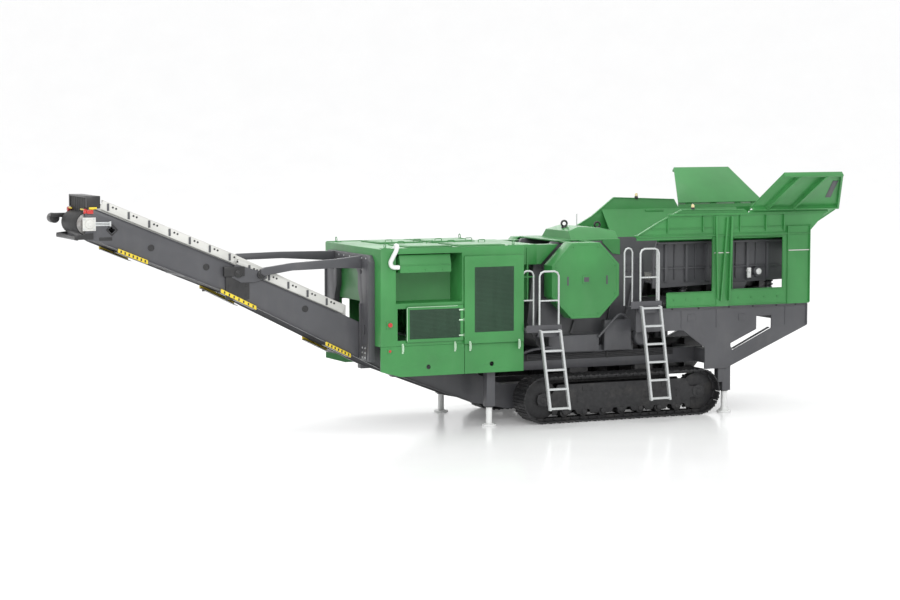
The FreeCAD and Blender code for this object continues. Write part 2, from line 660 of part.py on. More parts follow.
def head_scraper():
    """A cross tube under the nose of the belt on two arms, and the spray tank beside the nose."""
    half = CONVEYOR_HALF_WIDTH + 45
    tube_x = HEAD_DRUM_X - 235
    bar = roller(tube_x, 3745, 40, -half, half)
    arms = []
    for side in (-1, 1):
        y0 = side * (CONVEYOR_HALF_WIDTH - SEAT)
        y1 = side * (CONVEYOR_HALF_WIDTH + 25)
        arms.append(prism_xz([(tube_x - 40, 3715), (-7330, 3720), (-7330, 3830), (tube_x - 40, 3790)], y0, y1))
    bracket = box(-7780, -7330, CONVEYOR_HALF_WIDTH - SEAT, CONVEYOR_HALF_WIDTH + 25, 4070, 4150)
    bracket = bracket.cut(roller(HEAD_DRUM_X, HEAD_DRUM_Z, HEAD_MOTOR_RADIUS + FIT, 0,
                                 CONVEYOR_HALF_WIDTH + 100))
    tank = roller(-7700, 4055, 90, CONVEYOR_HALF_WIDTH + 24, CONVEYOR_HALF_WIDTH + 250)
    return Part.makeCompound([join([bar] + arms), join([bracket, tank])])


def conveyor_idlers():
    """Rollers across the frame under both runs of the belt."""
    inner = CONVEYOR_HALF_WIDTH - HEAVY_PLATE + SEAT
    rollers = []
    bend = belt_bend_x()
    steps = [-6900 + i * 760 for i in range(10)]
    for x in steps:
        slope = UPPER_SLOPE if x < CONVEYOR_JOINT_X else LOWER_SLOPE
        if x > bend - 300:
            continue
        drop = (BELT_THICKNESS + IDLER_RADIUS - SEAT) * math.hypot(1.0, slope)
        rollers.append(roller(x, belt_top(x) - drop, IDLER_RADIUS, -inner, inner))
    level = TAIL_DRUM_Z + TAIL_DRUM_RADIUS - IDLER_RADIUS + SEAT
    for x in (bend + 350, bend + 1050, bend + 1750):
        rollers.append(roller(x, level, IDLER_RADIUS, -inner, inner))
    return Part.makeCompound(rollers)


def conveyor_skirts():
    """Upright strips inside the side plates that keep the load on the belt."""
    y = CONVEYOR_HALF_WIDTH - HEAVY_PLATE + SEAT
    start = -7150.0
    end = CANOPY_FRONT_X - PORTAL_THICKNESS - 250
    outline = [(start, belt_top(start) + 12), (start, 4225 + SKIRT_RISE)]
    outline.append((CONVEYOR_JOINT_X, 3169 + SKIRT_RISE))
    outline.append((end, 3110 - (end - CONVEYOR_JOINT_X) * 0.4377 + SKIRT_RISE))
    outline.append((end, belt_top(end) + 12))
    outline.append((CONVEYOR_JOINT_X, belt_top(CONVEYOR_JOINT_X) + 12))
    outline.reverse()
    return both(prism_xz(outline, -y, -y + 20))


def conveyor_head_hood():
    """A short box over the belt where the material leaves, open at both ends."""
    half = CONVEYOR_HALF_WIDTH
    outer = box(-7440, -7190, -half, half, 4270, 4490)
    tunnel = box(-7450, -7180, -half + 50, half - 50, 4200, 4460)
    seats = [box(-7400, -7330, side * half, side * (half - HEAVY_PLATE), 4240, 4275) for side in (-1, 1)]
    return join([outer.cut(tunnel)] + seats).cut(both(upper_plate()))


def roller_guards():
    """Yellow guards under the lower edge, beside the return rollers."""
    guards = []
    for x0, z0, x1, z1 in ((-6880, 3500, -6330, 3275), (-4950, 2715, -4270, 2375), (-2900, 1660, -2400, 1410)):
        outline = [(x0, z0 + 45), (x0, z0 - 30), (x1, z1 - 30), (x1, z1 + 45)]
        guards.append(prism_xz(outline, -CONVEYOR_HALF_WIDTH - 40, -CONVEYOR_HALF_WIDTH + SEAT))
    return Part.makeCompound(guards + [far(guard) for guard in guards])


# ---- jaw crusher ----
CRUSHER_TOP_Z = 3460.0
JAW_BOTTOM_Z = 1150.0


def shaft_bore():
    """The room that the flywheel shaft needs through the frame and the jaw."""
    half = CRUSHER_HALF_WIDTH + 10
    return roller(FLYWHEEL_X, FLYWHEEL_Z, SHAFT_RADIUS + FIT, -half, half)


def crusher_frame():
    """Two heavy side plates with a front wall, a rear wall and mounting feet."""
    outline = [
        (1500, 1420), (1260, 1900), (1400, 3050), (1800, CRUSHER_TOP_Z), (2900, CRUSHER_TOP_Z), (3120, 3200),
        (3820, 3100), (3860, 2700), (3600, 1400), (3300, JAW_BOTTOM_Z), (2100, JAW_BOTTOM_Z),
    ]
    side = prism_xz(outline, -CRUSHER_HALF_WIDTH, -CRUSHER_HALF_WIDTH + CRUSHER_WALL)
    inner = CRUSHER_HALF_WIDTH - CRUSHER_WALL + 1
    fixed_wall = prism_xz([(3820, 2560), (3600, 1400), (3300, JAW_BOTTOM_Z), (3080, JAW_BOTTOM_Z),
                           (3350, 1500), (3680, 2560)], -inner, inner)
    rear_wall = prism_xz([(1500, 1420), (1260, 1900), (1400, 3050), (1480, 3030), (1350, 1910), (1580, 1440)],
                         -inner, inner)
    feet = [box(1900, 3500, -BEAM_INNER_Y - BEAM_WIDTH, -CRUSHER_HALF_WIDTH + 1, BEAM_TOP_Z - SEAT, 1420)]
    feet.append(far(feet[0]))
    frame = join([side, far(side), fixed_wall, rear_wall] + feet)
    return frame.cut(shaft_bore())


def crusher_jaw():
    """The moving jaw and its eccentric housing, on the shaft of the flywheels."""
    outline = [
        (1700, 2900), (1850, 3150), (2200, 3300), (2500, 3250), (2860, 2700),
        (3010, 1250), (2820, 1200), (2300, 1900), (1750, 2500),
    ]
    half = CRUSHER_HALF_WIDTH - CRUSHER_WALL + SEAT
    return prism_xz(outline, -half, half).cut(shaft_bore())


def crusher_flywheels():
    """One shaft through the crusher with a heavy wheel on each end."""
    end = FLYWHEEL_INNER_Y + FLYWHEEL_WIDTH
    shaft = roller(FLYWHEEL_X, FLYWHEEL_Z, SHAFT_RADIUS, -end - 40, end + 40)
    wheel = roller(FLYWHEEL_X, FLYWHEEL_Z, FLYWHEEL_RADIUS, -end, -FLYWHEEL_INNER_Y)
    dish = roller(FLYWHEEL_X, FLYWHEEL_Z, FLYWHEEL_RADIUS - 120, -end - 1, -end + 60)
    hub = roller(FLYWHEEL_X, FLYWHEEL_Z, 240, -end, -FLYWHEEL_INNER_Y)
    wheel = join([wheel.cut(dish), hub])
    wheels = join([shaft, wheel, far(wheel)])
    return wheels


def octagon(radius, y0, y1):
    """An eight-sided block round the flywheel axis, flats level and upright."""
    corner = radius / math.cos(math.pi / 8)
    points = []
    for i in range(8):
        a = math.pi / 8 + i * math.pi / 4
        points.append((FLYWHEEL_X + corner * math.cos(a), FLYWHEEL_Z + corner * math.sin(a)))
    return prism_xz(points, y0, y1)


def flywheel_guard():
    """An eight-sided cover round a flywheel, with brackets back to the crusher."""
    shell = octagon(GUARD_FLAT_RADIUS, -GUARD_OUTER_Y, -GUARD_INNER_Y)
    hollow = octagon(GUARD_FLAT_RADIUS - 25, -GUARD_OUTER_Y + 25, -GUARD_INNER_Y + 10)
    brackets = []
    for x in (FLYWHEEL_X - 260, FLYWHEEL_X + 180):
        top = FLYWHEEL_Z + GUARD_FLAT_RADIUS
        brackets.append(box(x, x + 80, -GUARD_INNER_Y - 60, -CRUSHER_HALF_WIDTH, top - 24, top + 12))
    return join([shell.cut(hollow)] + brackets)


def crusher_top_cover():
    """A crowned cover from the guard brackets back to the hopper, closing the gap above the frame."""
    low = CRUSHER_TOP_Z - SEAT
    skirt = box(FLYWHEEL_X - 320, HOPPER_FRONT_X, -CRUSHER_HALF_WIDTH, CRUSHER_HALF_WIDTH, low, low + 30)
    outline = [
        (FLYWHEEL_X + 40, low + 29), (HOPPER_FRONT_X, low + 29), (HOPPER_FRONT_X, low + 170),
        (FLYWHEEL_X + 780, low + 240), (FLYWHEEL_X + 320, low + 270), (FLYWHEEL_X + 60, low + 190),
    ]
    half = CRUSHER_HALF_WIDTH - 60
    crown = [(-half, low + 29), (half, low + 29), (half - 220, low + 271), (-half + 220, low + 271)]
    dome = prism_xz(outline, -half, half).common(prism_yz(crown, FLYWHEEL_X, HOPPER_FRONT_X))
    infill = prism_xz([(2900, low + 30), (2900, low - 40), (3120, 3200), (HOPPER_FRONT_X, 3176),
                       (HOPPER_FRONT_X, low + 30)], -CRUSHER_HALF_WIDTH - 20, -CRUSHER_HALF_WIDTH)
    return join([skirt, dome, infill, far(infill)])


def drive_box():
    """A low housing between the canopy and the crusher, under a wider shroud at the roof."""
    left = CANOPY_REAR_X - SEAT
    housing = box(left, 1340, -620, 620, 2300, CANOPY_TOP_Z - 40)
    shroud = box(left, 1340, -950, 950, CANOPY_TOP_Z - 400, CANOPY_TOP_Z - 10)
    return join([housing, shroud]).cut(crusher_frame())


# ---- feeder and hopper ----
def hopper_side_frame():
    """The flank of the hopper: a bottom band, two columns, a window and a bay open to the front."""
    inner = -HALF_WIDTH + PLATE
    outline = [
        (3960, RAIL_TOP_Z - SEAT), (HOPPER_REAR_X, RAIL_TOP_Z - SEAT), (HOPPER_REAR_X, SHELF_Z),
        (HOPPER_FRONT_X, SHELF_Z), (HOPPER_FRONT_X, 3480), (4990, 3480), (4990, 2440), (3960, 2440),
    ]
    panel = prism_xz(outline, -HALF_WIDTH, inner)
    window = [(5440, 2470), (6620, 2470), (6620, 3500), (5440, 3500)]
    panel = panel.cut(prism_xz(window, -HALF_WIDTH - 1, inner + 1))
    shelf = box(HOPPER_FRONT_X, HOPPER_REAR_X, -HALF_WIDTH - 20, -HALF_WIDTH + 120, SHELF_Z - 30, SHELF_Z + 10)
    column = prism_xz([(5080, RAIL_TOP_Z), (5360, RAIL_TOP_Z), (5430, 3950), (5000, 3950)],
                      -HALF_WIDTH - 20, -HALF_WIDTH + 90)
    rear_column = box(6720, HOPPER_REAR_X, -HALF_WIDTH - 20, -HALF_WIDTH + 90, RAIL_TOP_Z, 3700)
    return join([panel, shelf, column, rear_column]).cut(hopper_wall(FAR_WALL_TOP_Z))


def hopper_wall(peak):
    """The fixed upper wall, rising to the given peak, and the sloping plate down to the feeder."""
    top = HOPPER_TOP_Z
    low_y = FEEDER_INNER_Y + FEEDER_WALL - SEAT
    shoulder = max(peak - 60, top + 70)
    wall = prism_xz([(HOPPER_FRONT_X, SHELF_Z + 10 - SEAT), (3770, 3840), (4280, peak),
                     (WING_FRONT_X - 120, shoulder), (WING_FRONT_X - 20, top), (WING_REAR_X - 250, top),
                     (HOPPER_REAR_X, SHELF_Z + 10 - SEAT)], -HALF_WIDTH, -HALF_WIDTH + PLATE)
    slope = prism_yz([(-HALF_WIDTH + 5, top - 20), (-HALF_WIDTH + PLATE, top - 20),
                      (-low_y + PLATE, FEEDER_TOP_Z), (-low_y, FEEDER_TOP_Z)],
                     4000, HOPPER_REAR_X - 30)
    rim = box(4000, WING_REAR_X - 250, -HALF_WIDTH - 30, -HALF_WIDTH + PLATE, top - 30, top)
    strip_top = WING_HINGE_Z - WING_THICKNESS - RUNNING_CLEARANCE
    strip = box(WING_FRONT_X, WING_REAR_X - 250, -HALF_WIDTH - 20, -HALF_WIDTH + 10, top - 1, strip_top)
    return join([wall, slope, rim, strip])


def hopper_rear_wall():
    """The rear wall, leaning back above the shelf and sloping in to the feeder below it."""
    half = HALF_WIDTH - PLATE + SEAT
    outline = [
        (WING_REAR_X - 20, HOPPER_TOP_Z + 20), (HOPPER_REAR_X - 25, 3640), (7050, FEEDER_TOP_Z - 60),
        (7015, FEEDER_TOP_Z - 40), (HOPPER_REAR_X - 60, 3660), (WING_REAR_X - 50, HOPPER_TOP_Z + 35),
    ]
    wall = prism_xz(outline, -half, half)
    return wall.cut(both(hopper_side_frame())).cut(both(hopper_wall(FAR_WALL_TOP_Z)))


def hopper_wing():
    """A flared flap on the top edge, with a rim and two raking ribs on its outer face."""
    hinge_y = HALF_WIDTH + 16
    rise = WING_TOP_Z - WING_HINGE_Z
    run = WING_TIP_Y - hinge_y
    length = math.hypot(rise, run)
    offset = 320.0
    tip_front = WING_TIP_FRONT_X - WING_FRONT_X
    tip_rear = WING_TIP_REAR_X - WING_FRONT_X
    base = WING_REAR_X - WING_FRONT_X
    sheet = [(0, 0), (base, 0), (tip_rear, length), (tip_front, length)]

    def flat(points, y0, y1):
        ring = [FreeCAD.Vector(x, y0, z) for x, z in points]
        ring.append(ring[0])
        return Part.Face(Part.makePolygon(ring)).extrude(FreeCAD.Vector(0, y1 - y0, 0))

    parts = [flat(sheet, 0, WING_THICKNESS)]
    rib = 75.0
    parts.append(flat([(30, 20), (base - 30, 20), (base - 45, 60), (50, 60)], -rib, 1))
    parts.append(flat([(tip_front - 10, length - 45), (tip_rear + 10, length - 45),
                       (tip_rear, length), (tip_front, length)], -rib, 1))
    for low, high in ((offset, offset + 330), (offset + 620, offset + 950)):
        parts.append(flat([(low, 30), (low + 45, 30), (high + 45, length - 20), (high, length - 20)], -rib, 1))
    parts.append(flat([(base - 70, 30), (base - 25, 30), (tip_rear - 5, length - 10), (tip_rear - 50,
                                                                                       length - 10)],
                      -rib, 1))
    wing = join(parts)
    wing.translate(FreeCAD.Vector(WING_FRONT_X, -hinge_y, WING_HINGE_Z))
    lean = math.degrees(math.atan2(run, rise))
    wing.rotate(FreeCAD.Vector(0, -hinge_y, WING_HINGE_Z), FreeCAD.Vector(1, 0, 0), lean)
    return wing


def feeder_pan():
    """The vibrating feeder: a stepped floor between two ribbed side plates."""
    outer = FEEDER_INNER_Y + FEEDER_WALL
    side = prism_xz([(3900, 2500), (6900, 2600), (6980, FEEDER_TOP_Z), (4000, FEEDER_TOP_Z), (3900, 3100)],
                    -outer, -FEEDER_INNER_Y)
    floor = prism_xz([(3880, FEEDER_FLOOR_Z), (6950, FEEDER_FLOOR_Z + 160), (6950, FEEDER_FLOOR_Z + 120),
                      (3880, FEEDER_FLOOR_Z - 40)], -FEEDER_INNER_Y - 1, FEEDER_INNER_Y + 1)
    back = box(6900, 6940, -FEEDER_INNER_Y - 1, FEEDER_INNER_Y + 1, FEEDER_FLOOR_Z + 100, FEEDER_TOP_Z)
    ribs = []
    for i in range(6):
        x = 4150 + i * 470
        ribs.append(box(x, x + 60, -outer - 60, -outer + 1, 2620, FEEDER_TOP_Z - 60))
    return join([side, far(side), floor, back] + ribs + [far(rib) for rib in ribs])


def feeder_mounts():
    """Cross bars and springs that carry the feeder on the hopper frame."""
    half = HALF_WIDTH - PLATE + SEAT
    bars = []
    for x in (4640, 6650):
        bars.append(box(x, x + 160, -half, half, 2260, 2400))
    springs = []
    for x in (4640, 6650):
        for side in (-1, 1):
            floor = FEEDER_FLOOR_Z - 40 + (x + 80 - 3880) * 160 / 3070
            springs.append(Part.makeCylinder(70, floor + 10 - 2399, FreeCAD.Vector(x + 80, side * 700, 2399)))
    near = join([bars[0]] + springs[:2])
    rear = join([bars[1]] + springs[2:])
    carried = [feeder_pan(), both(hopper_side_frame())]
    return Part.makeCompound([mount.cut(carried[0]).cut(carried[1]) for mount in (near, rear)])


# ---- access ----
def platform(x0, x1, z, reach):
    """A grated step with an upstand, bracketed off the machine's side."""
    deck = box(x0, x1, -HALF_WIDTH - 120, -reach, z - 40, z)
    kick = box(x0, x1, -HALF_WIDTH - 120, -HALF_WIDTH - 110, z - 1, z + 100)
    return join([deck, kick])


def ladder(x, top_z, bottom_z, rungs):
    """A leaning ladder with flat stiles and round rungs."""
    y_top = -HALF_WIDTH - 120 + SEAT
    y_bottom = y_top - LADDER_LEAN
    parts = []
    for left in (x - LADDER_WIDTH / 2, x + LADDER_WIDTH / 2 - STILE):
        ring = [(y_top, top_z), (y_top - 70, top_z), (y_bottom - 70, bottom_z), (y_bottom, bottom_z)]
        parts.append(prism_yz(ring, left, left + STILE))
    for i in range(rungs):
        t = 0.02 + 0.96 * i / (rungs - 1)
        y = y_top - 35 + (y_bottom - y_top) * t
        z = top_z + (bottom_z - top_z) * t
        parts.append(box(x - LADDER_WIDTH / 2 + 1, x + LADDER_WIDTH / 2 - 1, y - 40, y + 40, z - 15, z + 15))
    return join(parts)


def railing(x, z, height):
    """Two hand rails from the platform up, joined at the top and half way."""
    y = -HALF_WIDTH - 90
    half = LADDER_WIDTH / 2 - 20
    parts = []
    for side in (-1, 1):
        parts.append(tube((x + side * half, y, z - SEAT), (x + side * half, y, z + height), RAIL_TUBE))
    for level in (height - RAIL_TUBE, height / 2):
        parts.append(tube((x - half, y, z + level), (x + half, y, z + level), RAIL_TUBE - 3))
    return join(parts)


def access_parts():
    """Platforms, ladders and railings; the far side has the same."""
    left_deck = platform(CANOPY_REAR_X, LEFT_LADDER_X + 260, LEFT_PLATFORM_Z, BEAM_INNER_Y + BEAM_WIDTH - SEAT)
    left_leg = box(LEFT_LADDER_X - 460, LEFT_LADDER_X - 380, -BEAM_INNER_Y - BEAM_WIDTH - 40,
                   -BEAM_INNER_Y - BEAM_WIDTH + SEAT, BEAM_BOTTOM_Z + 60, LEFT_PLATFORM_Z - 39)
    right_deck = platform(RIGHT_LADDER_X - 420, RIGHT_LADDER_X + 260, RIGHT_PLATFORM_Z, HALF_WIDTH - 70)
    right_leg = box(RIGHT_LADDER_X - 60, RIGHT_LADDER_X + 100, -HALF_WIDTH + 25, -HALF_WIDTH + 60,
                    RAIL_TOP_Z - SEAT, RIGHT_PLATFORM_Z - 39)
    decks = [join([left_deck, left_leg]), join([right_deck, right_leg])]
    ladders = [
        ladder(LEFT_LADDER_X, LEFT_PLATFORM_Z, 340, 5),
        ladder(RIGHT_LADDER_X, RIGHT_PLATFORM_Z, 420, 6),
    ]
    rails = [
        railing(LEFT_LADDER_X, LEFT_PLATFORM_Z, 1120),
        railing(RIGHT_LADDER_X, RIGHT_PLATFORM_Z, 1120),
    ]
    return decks, ladders, rails


def with_far(shapes):
    return Part.makeCompound(shapes + [far(shape) for shape in shapes])


# ---- write every piece ----
save("track_chains", both(track_chain()))
save("track_frames", both(join([track_frame()] + track_brackets())))
save("track_wheels", with_far(track_wheels()))
save("chassis_beams", both(chassis_beams()))
save("chassis_cross_members", chassis_cross_members())
save("rear_side_plates", both(rear_side_plate()))
save("jack_legs", jack_legs())
front_foot = jack_foot(FRONT_JACK_X, FRONT_JACK_Y, FRONT_LEG_BOTTOM_Z, FRONT_LEG_TOP_Z)
rear_foot = jack_foot(REAR_JACK_X, REAR_JACK_Y, REAR_LEG_BOTTOM_Z, REAR_LEG_TOP_Z)
save("front_jack_foot_near", front_foot)
save("front_jack_foot_far", far(front_foot))
save("rear_jack_foot_near", rear_foot)
save("rear_jack_foot_far", far(rear_foot))
save("canopy_shell", canopy_shell())
save("canopy_skirts", with_far(canopy_skirts()))
fixed_door = grille_door()
fixed_door.translate(FreeCAD.Vector(0, RUNNING_CLEARANCE + SEAT, 0))
save("grille_panels", Part.makeCompound([louvre_panel(), far(louvre_panel()), far(fixed_door)]))
save("grille_door_near", grille_door())
save("hatch_boxes", both(hatch_box()))
save("exhaust_elbow", exhaust_elbow())
save("power_unit", power_unit())
save("portal_frame", portal_frame())
save("conveyor_arms", conveyor_arms())
save("conveyor_upper_plates", both(upper_plate()))
save("conveyor_lower_plates", both(lower_plate()))
save("conveyor_belt", conveyor_belt())
save("conveyor_drums", conveyor_drums())
save("head_scraper", head_scraper())
save("conveyor_idlers", conveyor_idlers())
save("conveyor_skirts", conveyor_skirts())
save("conveyor_head_hood", conveyor_head_hood())
save("roller_guards", roller_guards())
save("crusher_frame", crusher_frame())
save("crusher_jaw", crusher_jaw())
save("crusher_flywheels", crusher_flywheels())
save("flywheel_guards", both(flywheel_guard()))
save("crusher_top_cover", crusher_top_cover())
save("drive_box", drive_box())
save("hopper_side_frames", both(hopper_side_frame()))
save("hopper_walls", Part.makeCompound([hopper_wall(NEAR_WALL_TOP_Z), far(hopper_wall(FAR_WALL_TOP_Z))]))
save("hopper_rear_wall", hopper_rear_wall())
save("hopper_wing_near", hopper_wing())
save("hopper_wing_far", far(hopper_wing()))
save("feeder_pan", feeder_pan())
save("feeder_mounts", feeder_mounts())
decks, ladders, rails = access_parts()
save("platforms", with_far(decks))
save("ladders", with_far(ladders))
save("railings", with_far(rails))
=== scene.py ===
import math

import bmesh
import bpy
from mathutils import Matrix, Vector


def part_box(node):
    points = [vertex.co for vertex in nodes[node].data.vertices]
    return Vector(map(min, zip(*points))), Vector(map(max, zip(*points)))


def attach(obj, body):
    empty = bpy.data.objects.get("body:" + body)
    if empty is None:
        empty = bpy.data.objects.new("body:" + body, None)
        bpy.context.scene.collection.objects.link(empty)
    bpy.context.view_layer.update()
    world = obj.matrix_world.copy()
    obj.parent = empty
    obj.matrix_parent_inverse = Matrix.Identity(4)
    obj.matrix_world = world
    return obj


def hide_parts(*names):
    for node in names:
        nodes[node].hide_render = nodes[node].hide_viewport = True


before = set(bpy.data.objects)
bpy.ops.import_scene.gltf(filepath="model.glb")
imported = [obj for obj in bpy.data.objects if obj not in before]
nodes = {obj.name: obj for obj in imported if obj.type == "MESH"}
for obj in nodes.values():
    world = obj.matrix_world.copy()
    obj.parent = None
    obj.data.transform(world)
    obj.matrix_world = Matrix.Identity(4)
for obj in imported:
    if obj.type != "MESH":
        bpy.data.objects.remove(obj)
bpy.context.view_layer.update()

# ---------------------------------------------------------------------------
# Canopy over the engine: folded steel sheet, welded at its corners and sprayed
# green. Skirts, the radiator panel and the grille door are bolted or hinged on.
# ---------------------------------------------------------------------------


class Finish:
    """A surface finish, built up node by node on the shape's own coordinates."""

    def __init__(self, name):
        self.material = bpy.data.materials.new(name)
        self.material.use_nodes = True
        self.tree = self.material.node_tree
        self.tree.nodes.clear()
        self.out = self.tree.nodes.new("ShaderNodeOutputMaterial")
        self.shader = self.tree.nodes.new("ShaderNodeBsdfPrincipled")
        self.coords = self.tree.nodes.new("ShaderNodeTexCoord")
        self.tree.links.new(self.shader.outputs["BSDF"], self.out.inputs["Surface"])

    def placed(self, node, stretch):
        mapping = self.tree.nodes.new("ShaderNodeMapping")
        mapping.inputs["Scale"].default_value = stretch
        self.tree.links.new(self.coords.outputs["Object"], mapping.inputs["Vector"])
        self.tree.links.new(mapping.outputs["Vector"], node.inputs["Vector"])
        return node

    def cloud(self, scale, detail=4.0, rough=0.55, stretch=(1.0, 1.0, 1.0)):
        """Cloudy variation, in features to the metre."""
        node = self.tree.nodes.new("ShaderNodeTexNoise")
        node.inputs["Scale"].default_value = scale
        node.inputs["Detail"].default_value = detail
        node.inputs["Roughness"].default_value = rough
        return self.placed(node, stretch)

    def cells(self, scale, feature="F1", stretch=(1.0, 1.0, 1.0)):
        node = self.tree.nodes.new("ShaderNodeTexVoronoi")
        node.feature = feature
        node.inputs["Scale"].default_value = scale
        return self.placed(node, stretch)

    def ramp(self, source, stops):
        node = self.tree.nodes.new("ShaderNodeValToRGB")
        elements = node.color_ramp.elements
        while len(elements) < len(stops):
            elements.new(0.5)
        for element, (place, colour) in zip(elements, stops):
            element.position = place
            element.color = (*colour, 1.0)
        self.tree.links.new(source.outputs[0], node.inputs["Fac"])
        return node

    def mask(self, source, start, end, strength):
        return self.ramp(source, [(start, (0.0, 0.0, 0.0)), (end, (strength, strength, strength))])

    def over(self, base, colour, mask):
        """One colour laid over another where the mask is bright."""
        node = self.tree.nodes.new("ShaderNodeMixRGB")
        self.tree.links.new(mask.outputs["Color"], node.inputs["Fac"])
        self.tree.links.new(base.outputs["Color"], node.inputs["Color1"])
        node.inputs["Color2"].default_value = (*colour, 1.0)
        return node

    def colour(self, node):
        self.tree.links.new(node.outputs["Color"], self.shader.inputs["Base Color"])

    def value(self, socket, source, low, high):
        node = self.tree.nodes.new("ShaderNodeMapRange")
        node.inputs["To Min"].default_value = low
        node.inputs["To Max"].default_value = high
        self.tree.links.new(source.outputs[0], node.inputs["Value"])
        self.tree.links.new(node.outputs["Result"], self.shader.inputs[socket])

    def relief(self, layers):
        """Height textures stacked into one surface: (source, strength, depth in metres)."""
        last = None
        for source, strength, depth in layers:
            node = self.tree.nodes.new("ShaderNodeBump")
            node.inputs["Strength"].default_value = strength
            node.inputs["Distance"].default_value = depth
            self.tree.links.new(source.outputs[0], node.inputs["Height"])
            if last is not None:
                self.tree.links.new(last.outputs["Normal"], node.inputs["Normal"])
            last = node
        self.tree.links.new(last.outputs["Normal"], self.shader.inputs["Normal"])


def sprayed_enamel(name, colour, gloss=0.30, dust=0.10, coat=0.25):
    """Enamel over steel plate: slight drift of shade, orange peel, thin dust and a few stone specks."""
    f = Finish(name)
    deep = tuple(c * 0.86 for c in colour)
    pale = tuple(min(1.0, c * 1.12 + 0.004) for c in colour)
    shade = f.ramp(f.cloud(0.9, 3.0), [(0.30, deep), (0.70, pale)])
    film = f.cloud(3.5, 8.0, 0.62, (1.0, 1.0, 0.30))
    dusty = f.over(shade, (0.34, 0.33, 0.30), f.mask(film, 0.50, 0.88, dust))
    specks = f.cloud(58.0, 2.0, 0.5)
    f.colour(f.over(dusty, (0.22, 0.22, 0.20), f.mask(specks, 0.70, 0.75, dust * 2.0)))
    f.value("Roughness", film, gloss, gloss + 0.20)
    f.relief([(f.cloud(4.0, 2.0, 0.5), 0.10, 0.003), (f.cloud(240.0, 2.0, 0.5), 0.06, 0.002)])
    f.shader.inputs["Coat Weight"].default_value = coat
    f.shader.inputs["Coat Roughness"].default_value = 0.10
    return f.material


green_enamel = sprayed_enamel("green enamel", (0.036, 0.222, 0.053), 0.32, 0.05, 0.12)
pale_enamel = sprayed_enamel("pale green enamel", (0.46, 0.64, 0.47), 0.30, 0.05, 0.15)
dark_grey_enamel = sprayed_enamel("dark grey enamel", (0.068, 0.069, 0.076), 0.36, 0.08, 0.12)
black_enamel = sprayed_enamel("black enamel", (0.012, 0.012, 0.013), 0.34, 0.05, 0.15)
white_enamel = sprayed_enamel("white enamel", (0.74, 0.75, 0.74), 0.28, 0.05, 0.20)


def zinc_coat(name, colour, metal):
    """Hot-dip zinc: small bright crystals with a dull bloom over them."""
    f = Finish(name)
    spangle = f.cells(46.0)
    dull = tuple(c * 0.80 for c in colour)
    base = f.ramp(spangle, [(0.10, dull), (0.85, colour)])
    bloom = f.cloud(7.0, 6.0, 0.6)
    f.colour(f.over(base, (0.62, 0.63, 0.62), f.mask(bloom, 0.48, 0.80, 0.35)))
    f.value("Roughness", bloom, 0.30, 0.52)
    f.relief([(spangle, 0.10, 0.001), (f.cloud(160.0, 3.0), 0.08, 0.001)])
    f.shader.inputs["Metallic"].default_value = metal
    return f.material


galvanised = zinc_coat("galvanised steel", (0.60, 0.62, 0.62), 0.45)
finish_of = {"green_paint": green_enamel, "dark_grey_paint": dark_grey_enamel, "black_paint": black_enamel,
             "white_paint": white_enamel, "galvanised_steel": galvanised}


